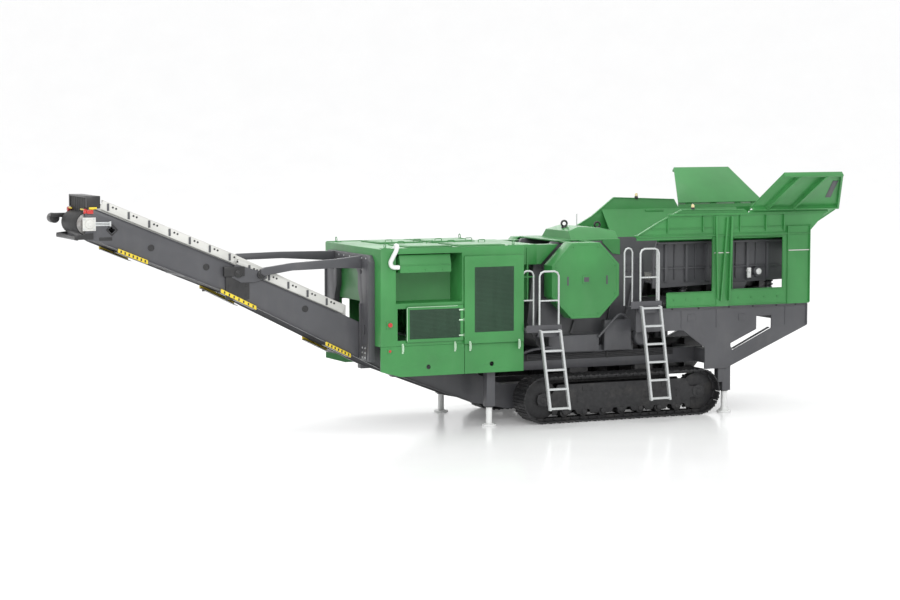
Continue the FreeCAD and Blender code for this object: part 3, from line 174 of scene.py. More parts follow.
class Work:
    """Steel put together from bars, rods, pipes, plates and turned parts, all in the machine's frame."""

    def __init__(self, *other_sides):
        self.bm = bmesh.new()
        self.sides = (1,) + other_sides

    def faces_to(self, rings, closed=False, capped=True):
        """Skins a row of point rings of equal length."""
        rows = [[self.bm.verts.new(p) for p in ring] for ring in rings]
        count = len(rows[0])
        pairs = list(zip(rows, rows[1:]))
        if closed:
            pairs.append((rows[-1], rows[0]))
        for a, b in pairs:
            for i in range(count):
                j = (i + 1) % count
                self.bm.faces.new((a[i], a[j], b[j], b[i]))
        if capped and not closed:
            self.bm.faces.new(list(reversed(rows[0])))
            self.bm.faces.new(rows[-1])

    def bar(self, low, high):
        """A square-edged bar between two corners."""
        x0, x1 = sorted((low[0], high[0]))
        y0, y1 = sorted((low[1], high[1]))
        z0, z1 = sorted((low[2], high[2]))
        self.faces_to([[(x0, y0, z), (x1, y0, z), (x1, y1, z), (x0, y1, z)] for z in (z0, z1)])

    def plate(self, outline, pull):
        """A flat outline pulled along a vector."""
        pull = Vector(pull)
        self.faces_to([[Vector(p) for p in outline], [Vector(p) + pull for p in outline]])

    def side_plate(self, outline, y0, y1):
        self.plate([(x, min(y0, y1), z) for x, z in outline], (0, abs(y1 - y0), 0))

    def rod(self, start, end, radius, sides=18, end_radius=None):
        self.pipe([start, end], radius, sides, end_radius)

    def pipe(self, points, radius, sides=12, end_radius=None, loop=False):
        """A round pipe along points, kept from twisting."""
        points = [Vector(p) for p in points]
        count = len(points)
        rings = []
        up = None
        for i, p in enumerate(points):
            if loop:
                along = (points[(i + 1) % count] - points[i - 1]).normalized()
            else:
                along = (points[min(i + 1, count - 1)] - points[max(i - 1, 0)]).normalized()
            if up is None:
                up = along.orthogonal().normalized()
            up = (up - along * up.dot(along)).normalized()
            across = along.cross(up)
            r = radius
            if end_radius is not None:
                r = radius + (end_radius - radius) * i / (count - 1)
            rings.append([p + (up * math.cos(t) + across * math.sin(t)) * r
                          for t in (2 * math.pi * k / sides for k in range(sides))])
        self.faces_to(rings, closed=loop)

    def turned(self, centre, axis, profile, sides=32):
        """A turned part: (distance along the axis, radius) pairs."""
        centre = Vector(centre)
        axis = Vector(axis).normalized()
        up = axis.orthogonal().normalized()
        across = axis.cross(up)
        rings = []
        for along, r in profile:
            rings.append([centre + axis * along + (up * math.cos(t) + across * math.sin(t)) * max(r, 0.0005)
                          for t in (2 * math.pi * k / sides for k in range(sides))])
        self.faces_to(rings)

    def finished(self, name, finish, body="machine", edge=0.003, stands_for=(), angle=35.0):
        """Mirrors, cleans and edges the work, then hangs it on its body."""
        if len(self.sides) > 1:
            whole = list(self.bm.verts) + list(self.bm.edges) + list(self.bm.faces)
            copy = bmesh.ops.duplicate(self.bm, geom=whole)
            for v in [g for g in copy["geom"] if isinstance(g, bmesh.types.BMVert)]:
                v.co.y = -v.co.y
        bmesh.ops.recalc_face_normals(self.bm, faces=self.bm.faces)
        mesh = bpy.data.meshes.new(name)
        self.bm.to_mesh(mesh)
        self.bm.free()
        piece = bpy.data.objects.new(name, mesh)
        bpy.context.scene.collection.objects.link(piece)
        mesh.materials.append(finish)
        return settled(piece, body, edge, stands_for, angle)


def settled(piece, body, edge=0.0, stands_for=(), angle=35.0):
    """Rounds over the sharp edges, makes the result a plain mesh and hangs it on its body."""
    if edge:
        bevel = piece.modifiers.new("edge radius", "BEVEL")
        bevel.width = edge
        bevel.segments = 2
        bevel.limit_method = "ANGLE"
        bevel.angle_limit = math.radians(angle)
    depsgraph = bpy.context.evaluated_depsgraph_get()
    plain = bpy.data.meshes.new_from_object(piece.evaluated_get(depsgraph))
    piece.modifiers.clear()
    rough = piece.data
    piece.data = plain
    bpy.data.meshes.remove(rough)
    for polygon in plain.polygons:
        polygon.use_smooth = True
    plain.set_sharp_from_angle(angle=math.radians(angle - 2))
    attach(piece, body)
    if stands_for:
        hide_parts(*stands_for)
    return piece


def edged(node_name, slot, body="machine", edge=0.006, angle=35.0):
    """A CAD part with its triangles merged back into faces and its edges rounded over."""
    mesh = bpy.data.meshes.new(node_name + "_skin")
    bm = bmesh.new()
    bm.from_mesh(nodes[node_name].data)
    bmesh.ops.remove_doubles(bm, verts=bm.verts, dist=0.00005)
    bmesh.ops.dissolve_limit(bm, angle_limit=math.radians(0.6), verts=bm.verts, edges=bm.edges)
    bm.to_mesh(mesh)
    bm.free()
    piece = bpy.data.objects.new(node_name + "_skin", mesh)
    bpy.context.scene.collection.objects.link(piece)
    mesh.materials.clear()
    mesh.materials.append(finish_of[slot])
    return settled(piece, body, edge, [node_name], angle)


for part in ("canopy_shell", "canopy_skirts", "grille_panels"):
    edged(part, "green_paint", edge=0.010)
edged("grille_door_near", "green_paint", "grille_door", 0.006)

low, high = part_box("canopy_shell")
canopy_front, canopy_rear, canopy_top, side_y = low.x, high.x, high.z, high.y

# ---------------------------------------------------------------------------
# Wire mesh in the radiator panel and the grille door: crimped wires laid both
# ways in front of a dark sheet that is painted shade for the space behind the
# mesh, held by a folded frame.
# ---------------------------------------------------------------------------


def setting_tree(name):
    """Sets a small part out on every point, its top along 'facing' and its length along 'along'."""
    tree = bpy.data.node_groups.new(name, "GeometryNodeTree")
    face = tree.interface
    face.new_socket("Points", in_out="INPUT", socket_type="NodeSocketGeometry")
    face.new_socket("Part", in_out="INPUT", socket_type="NodeSocketObject")
    face.new_socket("Size", in_out="INPUT", socket_type="NodeSocketVector")
    face.new_socket("Size Spread", in_out="INPUT", socket_type="NodeSocketFloat")
    face.new_socket("Spin", in_out="INPUT", socket_type="NodeSocketFloat")
    face.new_socket("Seed", in_out="INPUT", socket_type="NodeSocketInt")
    face.new_socket("Finish", in_out="INPUT", socket_type="NodeSocketMaterial")
    face.new_socket("Parts", in_out="OUTPUT", socket_type="NodeSocketGeometry")
    new, link = tree.nodes.new, tree.links.new
    given, made = new("NodeGroupInput"), new("NodeGroupOutput")
    part = new("GeometryNodeObjectInfo")
    link(given.outputs["Part"], part.inputs["Object"])
    turn = None
    for attribute, axis, pivot in (("facing", "Z", "AUTO"), ("along", "X", "Z")):
        named = new("GeometryNodeInputNamedAttribute")
        named.data_type = "FLOAT_VECTOR"
        named.inputs["Name"].default_value = attribute
        align = new("FunctionNodeAlignRotationToVector")
        align.axis, align.pivot_axis = axis, pivot
        link(named.outputs["Attribute"], align.inputs["Vector"])
        if turn is not None:
            link(turn.outputs["Rotation"], align.inputs["Rotation"])
        turn = align
    chance = new("FunctionNodeRandomValue")
    chance.data_type = "FLOAT"
    link(given.outputs["Seed"], chance.inputs["Seed"])
    link(given.outputs["Spin"], chance.inputs[3])
    spin = new("ShaderNodeCombineXYZ")
    link(chance.outputs[1], spin.inputs["Z"])
    to_turn = new("FunctionNodeEulerToRotation")
    link(spin.outputs["Vector"], to_turn.inputs["Euler"])
    spun = new("FunctionNodeRotateRotation")
    spun.rotation_space = "LOCAL"
    link(turn.outputs["Rotation"], spun.inputs["Rotation"])
    link(to_turn.outputs["Rotation"], spun.inputs["Rotate By"])
    spread = new("FunctionNodeRandomValue")
    spread.data_type = "FLOAT"
    link(given.outputs["Seed"], spread.inputs["Seed"])
    below = new("ShaderNodeMath")
    below.operation = "SUBTRACT"
    below.inputs[0].default_value = 1.0
    link(given.outputs["Size Spread"], below.inputs[1])
    link(below.outputs[0], spread.inputs[2])
    spread.inputs[3].default_value = 1.0
    sized = new("ShaderNodeVectorMath")
    sized.operation = "SCALE"
    link(given.outputs["Size"], sized.inputs[0])
    link(spread.outputs[1], sized.inputs["Scale"])
    placed = new("GeometryNodeInstanceOnPoints")
    link(given.outputs["Points"], placed.inputs["Points"])
    link(part.outputs["Geometry"], placed.inputs["Instance"])
    link(spun.outputs["Rotation"], placed.inputs["Rotation"])
    link(sized.outputs["Vector"], placed.inputs["Scale"])
    real = new("GeometryNodeRealizeInstances")
    link(placed.outputs["Instances"], real.inputs["Geometry"])
    coat = new("GeometryNodeSetMaterial")
    link(real.outputs["Geometry"], coat.inputs["Geometry"])
    link(given.outputs["Finish"], coat.inputs["Material"])
    link(coat.outputs["Geometry"], made.inputs["Parts"])
    return tree


setting_out = setting_tree("parts set out on points")


def set_out(name, spots, part, finish, body="machine", size=(1, 1, 1), spin=0.0, seed=7,
            spread=0.0, angle=32.0, far_side=False):
    """Spots are (place, facing, along); far_side adds the same on the other flank."""
    spots = [(Vector(p), Vector(f).normalized(), Vector(a).normalized()) for p, f, a in spots]
    if far_side:
        spots += [(Vector((p.x, -p.y, p.z)), Vector((f.x, -f.y, f.z)), Vector((a.x, -a.y, a.z)))
                  for p, f, a in spots]
    mesh = bpy.data.meshes.new(name)
    mesh.from_pydata([tuple(p) for p, _, _ in spots], [], [])
    for attribute, index in (("facing", 1), ("along", 2)):
        data = mesh.attributes.new(attribute, "FLOAT_VECTOR", "POINT")
        for i, spot in enumerate(spots):
            data.data[i].vector = spot[index]
    piece = bpy.data.objects.new(name, mesh)
    bpy.context.scene.collection.objects.link(piece)
    modifier = piece.modifiers.new("setting out", "NODES")
    modifier.node_group = setting_out
    settings = {"Part": part, "Size": size, "Size Spread": spread, "Spin": spin, "Seed": seed,
                "Finish": finish}
    for item in setting_out.interface.items_tree:
        if item.item_type == "SOCKET" and item.in_out == "INPUT" and item.name in settings:
            modifier[item.identifier] = settings[item.name]
    piece = settled(piece, body, angle=angle)
    if not piece.data.materials:
        piece.data.materials.append(finish)
    return piece


def pattern(name, work, edge=0.0):
    """A small part made once, out of sight, to be set out many times."""
    bmesh.ops.recalc_face_normals(work.bm, faces=work.bm.faces)
    mesh = bpy.data.meshes.new(name)
    if edge:
        bmesh.ops.bevel(work.bm, geom=list(work.bm.edges), offset=edge, segments=1, affect="EDGES")
    work.bm.to_mesh(mesh)
    work.bm.free()
    piece = bpy.data.objects.new(name, mesh)
    patterns.append(piece)
    return piece


patterns = []

wire = Work()
wire.pipe([(-0.5 + i / 6, 0, 0.0016 if i % 2 else -0.0016) for i in range(7)], 0.0036, 5)
wire = pattern("wire", wire)

# Painted shade: this dark sheet behind the wires stands for the shaded space behind the mesh.
shade_sheet = Finish("dark sheet of painted shade")
shade_sheet_tone = shade_sheet.cloud(6.0, 4.0)
shade_sheet.colour(shade_sheet.ramp(shade_sheet_tone, [(0.3, (0.012, 0.030, 0.017)), (0.7, (0.022, 0.052, 0.030))]))
shade_sheet.value("Roughness", shade_sheet_tone, 0.55, 0.75)
shade_sheet.relief([(shade_sheet.cloud(90.0, 3.0), 0.15, 0.002)])
wire_finish = sprayed_enamel("dark green wire", (0.030, 0.085, 0.045), 0.40, 0.05, 0.05)


def mesh_field(name, x0, x1, z0, z1, y, body="machine", far_side=False, pitch=0.024):
    """Wires both ways across an opening, with a dark sheet of painted shade close behind."""
    out = -1 if y < 0 else 1
    upright = []
    level = []
    for i in range(int((x1 - x0) / pitch)):
        upright.append(((x0 + (i + 0.5) * pitch, y, (z0 + z1) / 2), (0, out, 0), (0, 0, 1)))
    for i in range(int((z1 - z0) / pitch)):
        level.append((((x0 + x1) / 2, y + out * 0.003, z0 + (i + 0.5) * pitch), (0, out, 0), (1, 0, 0)))
    set_out(name + "_uprights", upright, wire, wire_finish, body, (z1 - z0, 1, 1),
            far_side=far_side)
    set_out(name + "_levels", level, wire, wire_finish, body, (x1 - x0, 1, 1),
            far_side=far_side)
    sides = (-1,) if far_side else ()
    # The dark sheet set just behind the wires is painted shade.
    sheet = Work(*sides)
    sheet.bar((x0 - 0.004, y - out * 0.0055, z0 - 0.004), (x1 + 0.004, y - out * 0.0025, z1 + 0.004))
    sheet.finished(name + "_backing", shade_sheet.material, body, 0.001)


low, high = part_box("grille_door_near")
mesh_field("door_mesh", low.x + 0.06, high.x - 0.06, low.z + 0.06, high.z - 0.06, low.y + 0.007,
           "grille_door")
door_low, door_high = low, high
far_door = (-1.60, -0.44, 1.70, 2.37)
mesh_field("far_door_mesh", far_door[0] + 0.06, far_door[1] - 0.06, far_door[2] + 0.06, far_door[3] - 0.06,
           side_y + 0.029)
louvre_front, louvre_rear, louvre_low, louvre_top, louvre_face = -0.42, 0.82, 1.63, 3.28, side_y + 0.0497
mesh_field("radiator_mesh", louvre_front + 0.21, louvre_rear - 0.21, louvre_low + 0.21, louvre_top - 0.21,
           -(louvre_face - 0.006), far_side=True)

# ---------------------------------------------------------------------------
# Canopy fittings: pale hinges and lift handles, pale strips of painted highlight
# on the grille door's left and top edges, folded drip edges, roof lids with
# their lifting eyes, the stop button and the bent tail pipe.
# ---------------------------------------------------------------------------
hinges_and_edge_highlights = Work()
leaves = Work()
for z in (1.80, 2.09, 2.28):
    x, y = door_high.x - 0.004, -side_y - 0.045
    hinges_and_edge_highlights.bar((x - 0.09, y, z - 0.013), (x - 0.008, y + 0.010, z + 0.013))
    leaves.bar((x + 0.014, -side_y - 0.012, z - 0.013), (x + 0.050, -side_y + 0.001, z + 0.013))
    leaves.rod((x + 0.024, -side_y - 0.016, z - 0.026), (x + 0.024, -side_y - 0.016, z + 0.026), 0.009, 12)
leaves.finished("door_hinge_leaves", pale_enamel, edge=0.002)
# Painted highlight: pale strips down the door's left edge and along its top stand for light caught on the
# frame's edges.
hinges_and_edge_highlights.bar((door_low.x + 0.004, door_low.y - 0.008, door_low.z + 0.03),
             (door_low.x + 0.014, door_low.y + 0.004, door_high.z - 0.02))
hinges_and_edge_highlights.bar((door_low.x + 0.03, door_low.y - 0.006, door_high.z - 0.018),
             (door_high.x - 0.12, door_low.y + 0.004, door_high.z - 0.008))
hinges_and_edge_highlights.finished("door_fittings", pale_enamel, "grille_door", 0.003)

handles = Work(-1)
for x in (-1.67, -0.60, -0.31, 0.72):
    y = -side_y - (0.062 if x > -0.4 else 0.012)
    handles.pipe([(x, y + 0.012, 1.52), (x, y - 0.025, 1.535), (x, y - 0.03, 1.59), (x, y - 0.025, 1.645),
                  (x, y + 0.012, 1.66)], 0.013, 10)
    handles.bar((x - 0.018, y + 0.002, 1.495), (x + 0.018, y + 0.012, 1.680))
handles.finished("skirt_handles", pale_enamel, edge=0.003)

roof = Work(-1)
for x0, x1 in ((-1.45, -0.55), (-0.40, 0.55)):
    roof.bar((x0, -1.18, canopy_top - 0.002), (x1, -0.18, canopy_top + 0.022))
    roof.bar((x0 + 0.05, -1.13, canopy_top + 0.020), (x1 - 0.05, -0.23, canopy_top + 0.030))
roof.bar((canopy_front + 0.02, -side_y + 0.002, canopy_top - 0.002), (canopy_rear - 0.02, -side_y + 0.030,
                                                                      canopy_top + 0.012))
roof.finished("roof_lids", green_enamel, edge=0.006)

eyes = Work(-1)
for x in (-1.95, 0.70):
    eyes.bar((x - 0.09, -1.27, canopy_top - 0.002), (x + 0.09, -1.17, canopy_top + 0.012))
    eyes.pipe([(x, -1.22 + 0.040 * math.cos(t), canopy_top + 0.052 + 0.045 * math.sin(t))
               for t in (2 * math.pi * k / 20 for k in range(20))], 0.008, 10, loop=True)
    eyes.rod((x, -1.22, canopy_top + 0.006), (x, -1.22, canopy_top + 0.016), 0.03, 18)
for x in (-1.30, -0.70, -0.25, 0.40):
    eyes.pipe([(x, -0.30, canopy_top + 0.026), (x, -0.30, canopy_top + 0.062),
               (x + 0.02, -0.30, canopy_top + 0.070),
               (x + 0.12, -0.30, canopy_top + 0.070), (x + 0.14, -0.30, canopy_top + 0.062),
               (x + 0.14, -0.30, canopy_top + 0.026)], 0.008, 8)
eyes.finished("roof_eyes", green_enamel, edge=0.002)

low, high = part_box("hatch_boxes")
hatch_top, hatch_low = high.z, low.z
hatch = Work(-1)
face_y = -(side_y + 0.010)
hatch.plate([(-1.72, -side_y + 0.549, hatch_top), (-1.72, -side_y + 0.549, hatch_low),
             (-1.72, face_y, hatch_low),
             (-1.72, face_y, hatch_low + 0.14), (-1.72, -side_y + 0.050, hatch_top)], (1.04, 0, 0))
hatch.bar((-1.70, face_y - 0.010, hatch_low + 0.135), (-0.70, face_y + 0.020, hatch_low + 0.150))
for x in (-1.55, -1.20, -0.85):
    hatch.rod((x, face_y + 0.004, hatch_low + 0.045), (x, face_y - 0.008, hatch_low + 0.045), 0.016, 16)
hatch.finished("hatch_covers", green_enamel, edge=0.006, stands_for=["hatch_boxes"])

red = Finish("red moulded plastic")
red_shade = red.cloud(30.0, 3.0)
red.colour(red.ramp(red_shade, [(0.3, (0.42, 0.016, 0.012)), (0.7, (0.60, 0.030, 0.022))]))
red.value("Roughness", red_shade, 0.22, 0.38)
red.relief([(red.cloud(300.0, 2.0), 0.05, 0.001)])
red.shader.inputs["Coat Weight"].default_value = 0.4

stop = Work(-1)
stop.turned((-1.93, -side_y, 2.04), (0, -1, 0), [(-0.002, 0.028), (0.022, 0.028), (0.023, 0.042),
                                                 (0.034, 0.044),
                                                 (0.042, 0.040), (0.048, 0.026), (0.050, 0.0)], 28)
stop.turned((-1.93, -side_y, 1.55), (0, -1, 0), [(-0.002, 0.026), (0.018, 0.026), (0.026, 0.018),
                                                 (0.028, 0.0)], 24)
stop.finished("stop_buttons", red.material, edge=0.0)

base = Work(-1)
base.bar((-1.995, -side_y + 0.002, 1.975), (-1.865, -side_y - 0.014, 2.105))
base.bar((-1.975, -side_y + 0.002, 1.505), (-1.885, -side_y - 0.010, 1.595))
base.finished("stop_bases", green_enamel, edge=0.004)

# The tail pipe's run follows the hooked pipe of the frame: out of its collar and down over the roof edge.
run_y = -side_y - 0.048
pipe_run = [(-1.790, run_y + 0.110, canopy_top + 0.015), (-1.790, run_y + 0.080, canopy_top + 0.060),
            (-1.795, run_y + 0.015, canopy_top + 0.050), (-1.820, run_y, canopy_top - 0.030),
            (-1.885, run_y, canopy_top - 0.150), (-1.930, run_y, canopy_top - 0.250),
            (-1.890, run_y, canopy_top - 0.325), (-1.760, run_y, canopy_top - 0.340)]


def smooth_run(points, steps=6):
    """Points along a curve that passes through all the given ones."""
    points = [Vector(p) for p in points]
    ends = [points[0] * 2 - points[1]] + points + [points[-1] * 2 - points[-2]]
    result = []
    for i in range(1, len(ends) - 2):
        a, b, c, d = ends[i - 1:i + 3]
        for k in range(steps):
            t = k / steps
            result.append(((b * 2) + (c - a) * t + (a * 2 - b * 5 + c * 4 - d) * t * t
                           + (b * 3 - a - c * 3 + d) * t * t * t) * 0.5)
    result.append(points[-1])
    return result


tail = Work()
tail.pipe(smooth_run(pipe_run), 0.042, 20)
tail.turned((pipe_run[0][0], pipe_run[0][1], canopy_top), (0, 0, 1),
            [(0.0, 0.075), (0.012, 0.075), (0.014, 0.056),
                                                                       (0.040, 0.054), (0.041, 0.040)], 28)
tail.finished("tail_pipe", white_enamel, edge=0.002, stands_for=["exhaust_elbow"])
# Painted shade: a black disc over the pipe's open end stands for the shade inside its bore.
bore_shade = Work()
end = Vector(pipe_run[-1])
bore_shade.turned(end, (0.97, 0, -0.11), [(0.0005, 0.030), (0.0015, 0.037)], 20)
bore_shade.finished("tail_pipe_mouth", black_enamel, edge=0.0)

# ---------------------------------------------------------------------------
# Engine inside the canopy, seen through its front mouth and from below: a
# painted block, and the green drive box beside it with its ribs and shroud lips.
# ---------------------------------------------------------------------------
edged("power_unit", "dark_grey_paint", edge=0.020)
edged("drive_box", "green_paint", edge=0.010)
low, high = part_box("drive_box")
ribs = Work(-1)
for x in (0.95, 1.12):
    ribs.bar((x, high.y - 0.002, low.z + 0.06), (x + 0.03, high.y + 0.018, high.z - 0.06))
ribs.bar((0.86, high.y - 0.002, 2.80), (1.30, high.y + 0.014, 2.83))
ribs.finished("drive_box_ribs", green_enamel, edge=0.003)
lip = Work(-1)
lip.side_plate([(1.335, 3.055), (1.430, 3.055), (1.800, 3.425), (1.335, 3.425)], 0.930, 0.946)
lip.bar((1.335, 0.700, 3.418), (1.790, 0.946, 3.430))
lip.finished("shroud_lips", green_enamel, edge=0.003)

# ---------------------------------------------------------------------------
# Portal and arms: a gallows of thick grey plate bolted to the chassis front,
# with two arms that hold the conveyor's joint. Hex bolts tie the feet.
# ---------------------------------------------------------------------------
bolt = Work()
bolt.turned((0, 0, 0), (0, 0, 1), [(0.0, 1.35), (0.22, 1.35), (0.23, 1.20)], 12)
bolt.turned((0, 0, 0), (0, 0, 1), [(0.2, 1.0), (0.75, 1.0), (0.85, 0.80)], 6)
bolt = pattern("hex_bolt", bolt)


def bolts(name, spots, radius, finish=None, body="machine", far_side=False):
    """Hex bolts with their washers, each turned as it was left by the spanner."""
    spots = [(p, f, (0, 0, 1) if abs(Vector(f).normalized().z) < 0.9 else (1, 0, 0)) for p, f in spots]
    return set_out(name, spots, bolt, finish or galvanised, body, (radius, radius, radius),
                   spin=1.05, far_side=far_side)


edged("portal_frame", "dark_grey_paint", edge=0.008)
edged("conveyor_arms", "dark_grey_paint", edge=0.008)
low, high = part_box("portal_frame")
portal_front = low.x
stiff = Work(-1)
stiff.bar((portal_front - 0.022, -1.118, 1.36), (portal_front + 0.002, -1.075, 3.18))
stiff.bar((portal_front - 0.022, -0.70, 1.36), (portal_front + 0.002, -0.66, 2.40))
stiff.bar((portal_front - 0.014, -0.98, 1.35), (portal_front + 0.002, -0.76, 1.62))
stiff.finished("portal_stiffeners", dark_grey_enamel, edge=0.004)
bolts("portal_bolts", [((portal_front - 0.013, y, z), (-1, 0, 0)) for y in (-0.94, -0.80) for z in (1.40,
                                                                                                    1.49, 1.58)],
      0.014, far_side=True)
bolts("portal_head_bolts", [((portal_front + 0.001, y, 3.26), (-1, 0, 0)) for y in (-0.95, -0.75, -0.40,
                                                                                    -0.15)],
      0.013, far_side=True)

joint = Work()
for x, z in ((-4.62, 3.03), (-4.18, 2.99)):
    joint.turned((x, -0.655, z), (0, -1, 0), [(-0.02, 0.075), (0.030, 0.075), (0.032, 0.045), (0.050, 0.043),
                                              (0.052, 0.0)], 28)
joint.bar((-4.86, -0.602, 2.55), (-4.40, -0.628, 3.02))
joint.bar((-4.90, -0.602, 2.98), (-4.50, -0.665, 3.16))
joint.finished("joint_plates", black_enamel, edge=0.008)
far_joint = Work()
far_joint.turned((-4.20, 0.72, 3.12), (0, 1, 0), [(-0.02, 0.075), (0.020, 0.075), (0.022, 0.04),
                                                  (0.034, 0.04)], 28)
far_joint.bar((-4.90, 0.602, 2.62), (-4.40, 0.636, 3.10))
far_joint.finished("far_joint_plates", black_enamel, edge=0.008)
bolts("joint_bolts", [((x, -0.629, z), (0, -1, 0)) for x in (-4.80, -4.63, -4.46) for z in (2.62, 2.80)],
      0.013,
      black_enamel, far_side=True)

# ---------------------------------------------------------------------------
# Conveyor frame: two deep side plates with folded lower lips, tied by rollers.
# The head length and the tail length meet at a joint under the arms.
# ---------------------------------------------------------------------------
edged("conveyor_upper_plates", "dark_grey_paint", edge=0.006)
edged("conveyor_lower_plates", "dark_grey_paint", edge=0.006)
plate_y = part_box("conveyor_upper_plates")[1].y


def along_slope(x0, z0, x1, z1, y0, y1, thick, up=0.0):
    """A flat strip that follows a sloping edge in side view."""
    slope = Vector((x1 - x0, 0, z1 - z0)).normalized()
    rise = Vector((-slope.z, 0, slope.x))
    a = Vector((x0, 0, z0)) + rise * up
    b = Vector((x1, 0, z1)) + rise * up
    return [(a.x, a.z), (b.x, b.z), (b.x + rise.x * thick, b.z + rise.z * thick),
            (a.x + rise.x * thick, a.z + rise.z * thick)], y0, y1


lips = Work(-1)
runs = [(-7.06, 3.592, -4.63, 2.604), (-4.60, 2.583, -4.20, 2.350), (-4.18, 2.340, -1.81, 1.138),
        (-1.79, 1.128, 0.06, 0.416)]
for x0, z0, x1, z1 in runs:
    outline, y0, y1 = along_slope(x0, z0, x1, z1, -plate_y - 0.030, -plate_y + 0.05, 0.012)
    lips.side_plate(outline, y0, y1)
for x0, z0, x1, z1 in ((-7.30, 4.268, -4.64, 3.177), (-4.60, 3.103, -2.66, 2.252)):
    outline, y0, y1 = along_slope(x0, z0, x1, z1, -plate_y - 0.028, -plate_y + 0.04, 0.012, -0.014)
    lips.side_plate(outline, y0, y1)
lips.finished("conveyor_lips", dark_grey_enamel, edge=0.002)

caps = Work(-1)
for x, z in ((-6.26, 3.54), (-5.22, 3.165), (-3.30, 2.33)):
    caps.turned((x, -plate_y, z), (0, -1, 0), [(-0.002, 0.062), (0.008, 0.062), (0.010, 0.046),
                                               (0.004, 0.044),
                                               (0.004, 0.0)], 24)
for side in range(4):
    a = math.radians(45 + 90 * side)
    b = math.radians(135 + 90 * side)
    reach = 0.098
    p, q = [Vector((-6.98 + reach * math.cos(v + math.pi / 4), -plate_y - 0.004,
                    3.88 + reach * math.sin(v + math.pi / 4))) for v in (a, b)]
    caps.pipe([p, q], 0.012, 8)
caps.bar((-7.22, -plate_y - 0.006, 3.69), (-6.98, -plate_y + 0.002, 3.75))
caps.finished("conveyor_caps", black_enamel, edge=0.002)

ties = Work()
for x, z in ((-6.60, 3.42), (-5.60, 3.02), (-3.90, 2.36), (-3.00, 1.92), (-2.00, 1.42)):
    ties.pipe([(x, -plate_y + 0.03, z), (x, plate_y - 0.03, z)], 0.030, 14)
ties.finished("conveyor_ties", dark_grey_enamel, edge=0.0)

# ---------------------------------------------------------------------------
# Belt: one endless ribbon of black rubber with a fine woven press mark, run in
# over a lagged head drum, closely spaced rollers and a slatted tail drum.
# ---------------------------------------------------------------------------


def rubber(name, shade):
    """Black rubber, dull, with grey stone dust rubbed into its top."""
    f = Finish(name)
    dust = f.cloud(2.2, 7.0, 0.6, (0.35, 1.6, 1.0))
    base = f.ramp(f.cloud(9.0, 3.0), [(0.3, tuple(c * 0.8 for c in shade)), (0.7, shade)])
    f.colour(f.over(base, (0.16, 0.155, 0.145), f.mask(dust, 0.50, 0.85, 0.30)))
    f.value("Roughness", dust, 0.48, 0.80)
    f.relief([(f.cells(170.0), 0.10, 0.001), (f.cloud(22.0, 3.0), 0.12, 0.003)])
    return f.material


belt_rubber = rubber("belt rubber", (0.016, 0.016, 0.017))
finish_of["belt_rubber"] = belt_rubber
edged("conveyor_belt", "belt_rubber", edge=0.004, angle=50)


def bare_steel(name, colour, rough=0.34):
    """Rolled steel worn bright, with brown tarnish in its hollows."""
    f = Finish(name)
    worn = f.cloud(14.0, 7.0, 0.6)
    base = f.ramp(worn, [(0.30, tuple(c * 0.55 for c in colour)), (0.62, colour)])
    f.colour(f.over(base, (0.10, 0.055, 0.030), f.mask(f.cloud(4.5, 8.0, 0.65), 0.55, 0.80, 0.45)))
    f.value("Roughness", worn, rough + 0.28, rough)
    f.relief([(f.cloud(90.0, 4.0), 0.15, 0.001)])
    f.shader.inputs["Metallic"].default_value = 0.75
    return f.material


finish_of["bare_steel"] = bare_steel("bare steel", (0.36, 0.35, 0.34))
edged("conveyor_drums", "bare_steel", edge=0.006)
edged("conveyor_idlers", "dark_grey_paint", edge=0.004)

# ---------------------------------------------------------------------------
# Belt skirts: pale grey sheets along both edges of the belt that hold the load,
# clamped from outside by short black brackets and bolts.
# ---------------------------------------------------------------------------
finish_of["light_grey_paint"] = sprayed_enamel("light grey enamel", (0.60, 0.60, 0.57), 0.40, 0.10, 0.10)
edged("conveyor_skirts", "light_grey_paint", edge=0.003)


def skirt_top(x):
    """Height of the top edge of the skirt at a place along the conveyor."""
    if x < -4.62:
        return 4.415 - (x + 7.15) * (4.415 - 3.359) / 2.53
    return 3.300 - (x + 4.62) * 0.4377


cap_strip = Work(-1)
for x0, x1 in ((-7.14, -4.64), (-4.60, -2.49)):
    z0, z1 = skirt_top(x0), skirt_top(x1)
    outline, y0, y1 = along_slope(x0, z0, x1, z1, -0.600, -0.536, 0.010, -0.006)
    cap_strip.side_plate(outline, y0, y1)
    outline, y0, y1 = along_slope(x0, z0, x1, z1, -0.600, -0.594, 0.160, -0.160)
    cap_strip.side_plate(outline, y0, y1)
cap_strip.finished("skirt_capping", finish_of["light_grey_paint"], edge=0.002)

clamps = []
for i in range(12):
    x = -7.05 + i * 0.38
    if x < -2.60:
        clamps.append((x, skirt_top(x)))
clamp_work = Work(-1)
for x, z in clamps:
    clamp_work.bar((x - 0.020, -0.612, z - 0.15), (x + 0.020, -0.598, z - 0.02))
clamp_work.finished("skirt_clamps", dark_grey_enamel, edge=0.003)
bolts("skirt_bolts", [((x + dx, -0.601, skirt_top(x + dx) - 0.055), (0, -1, 0)) for x,
                      z in clamps for dx in (0.09, 0.15)],
      0.014, black_enamel, far_side=True)

# ---------------------------------------------------------------------------
# Head of the conveyor: discharge hood, a flange bearing, lamps at both corners
# and the belt scraper under the nose.
# ---------------------------------------------------------------------------
edged("conveyor_head_hood", "black_paint", edge=0.006)
edged("head_scraper", "black_paint", edge=0.006)
low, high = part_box("conveyor_head_hood")
flap = Work()
for i in range(9):
    y = -0.50 + i * 0.125
    flap.bar((low.x + 0.018, y - 0.058, low.z - 0.10), (low.x + 0.026, y + 0.058, high.z - 0.03))
flap.finished("hood_flaps", belt_rubber, edge=0.002)

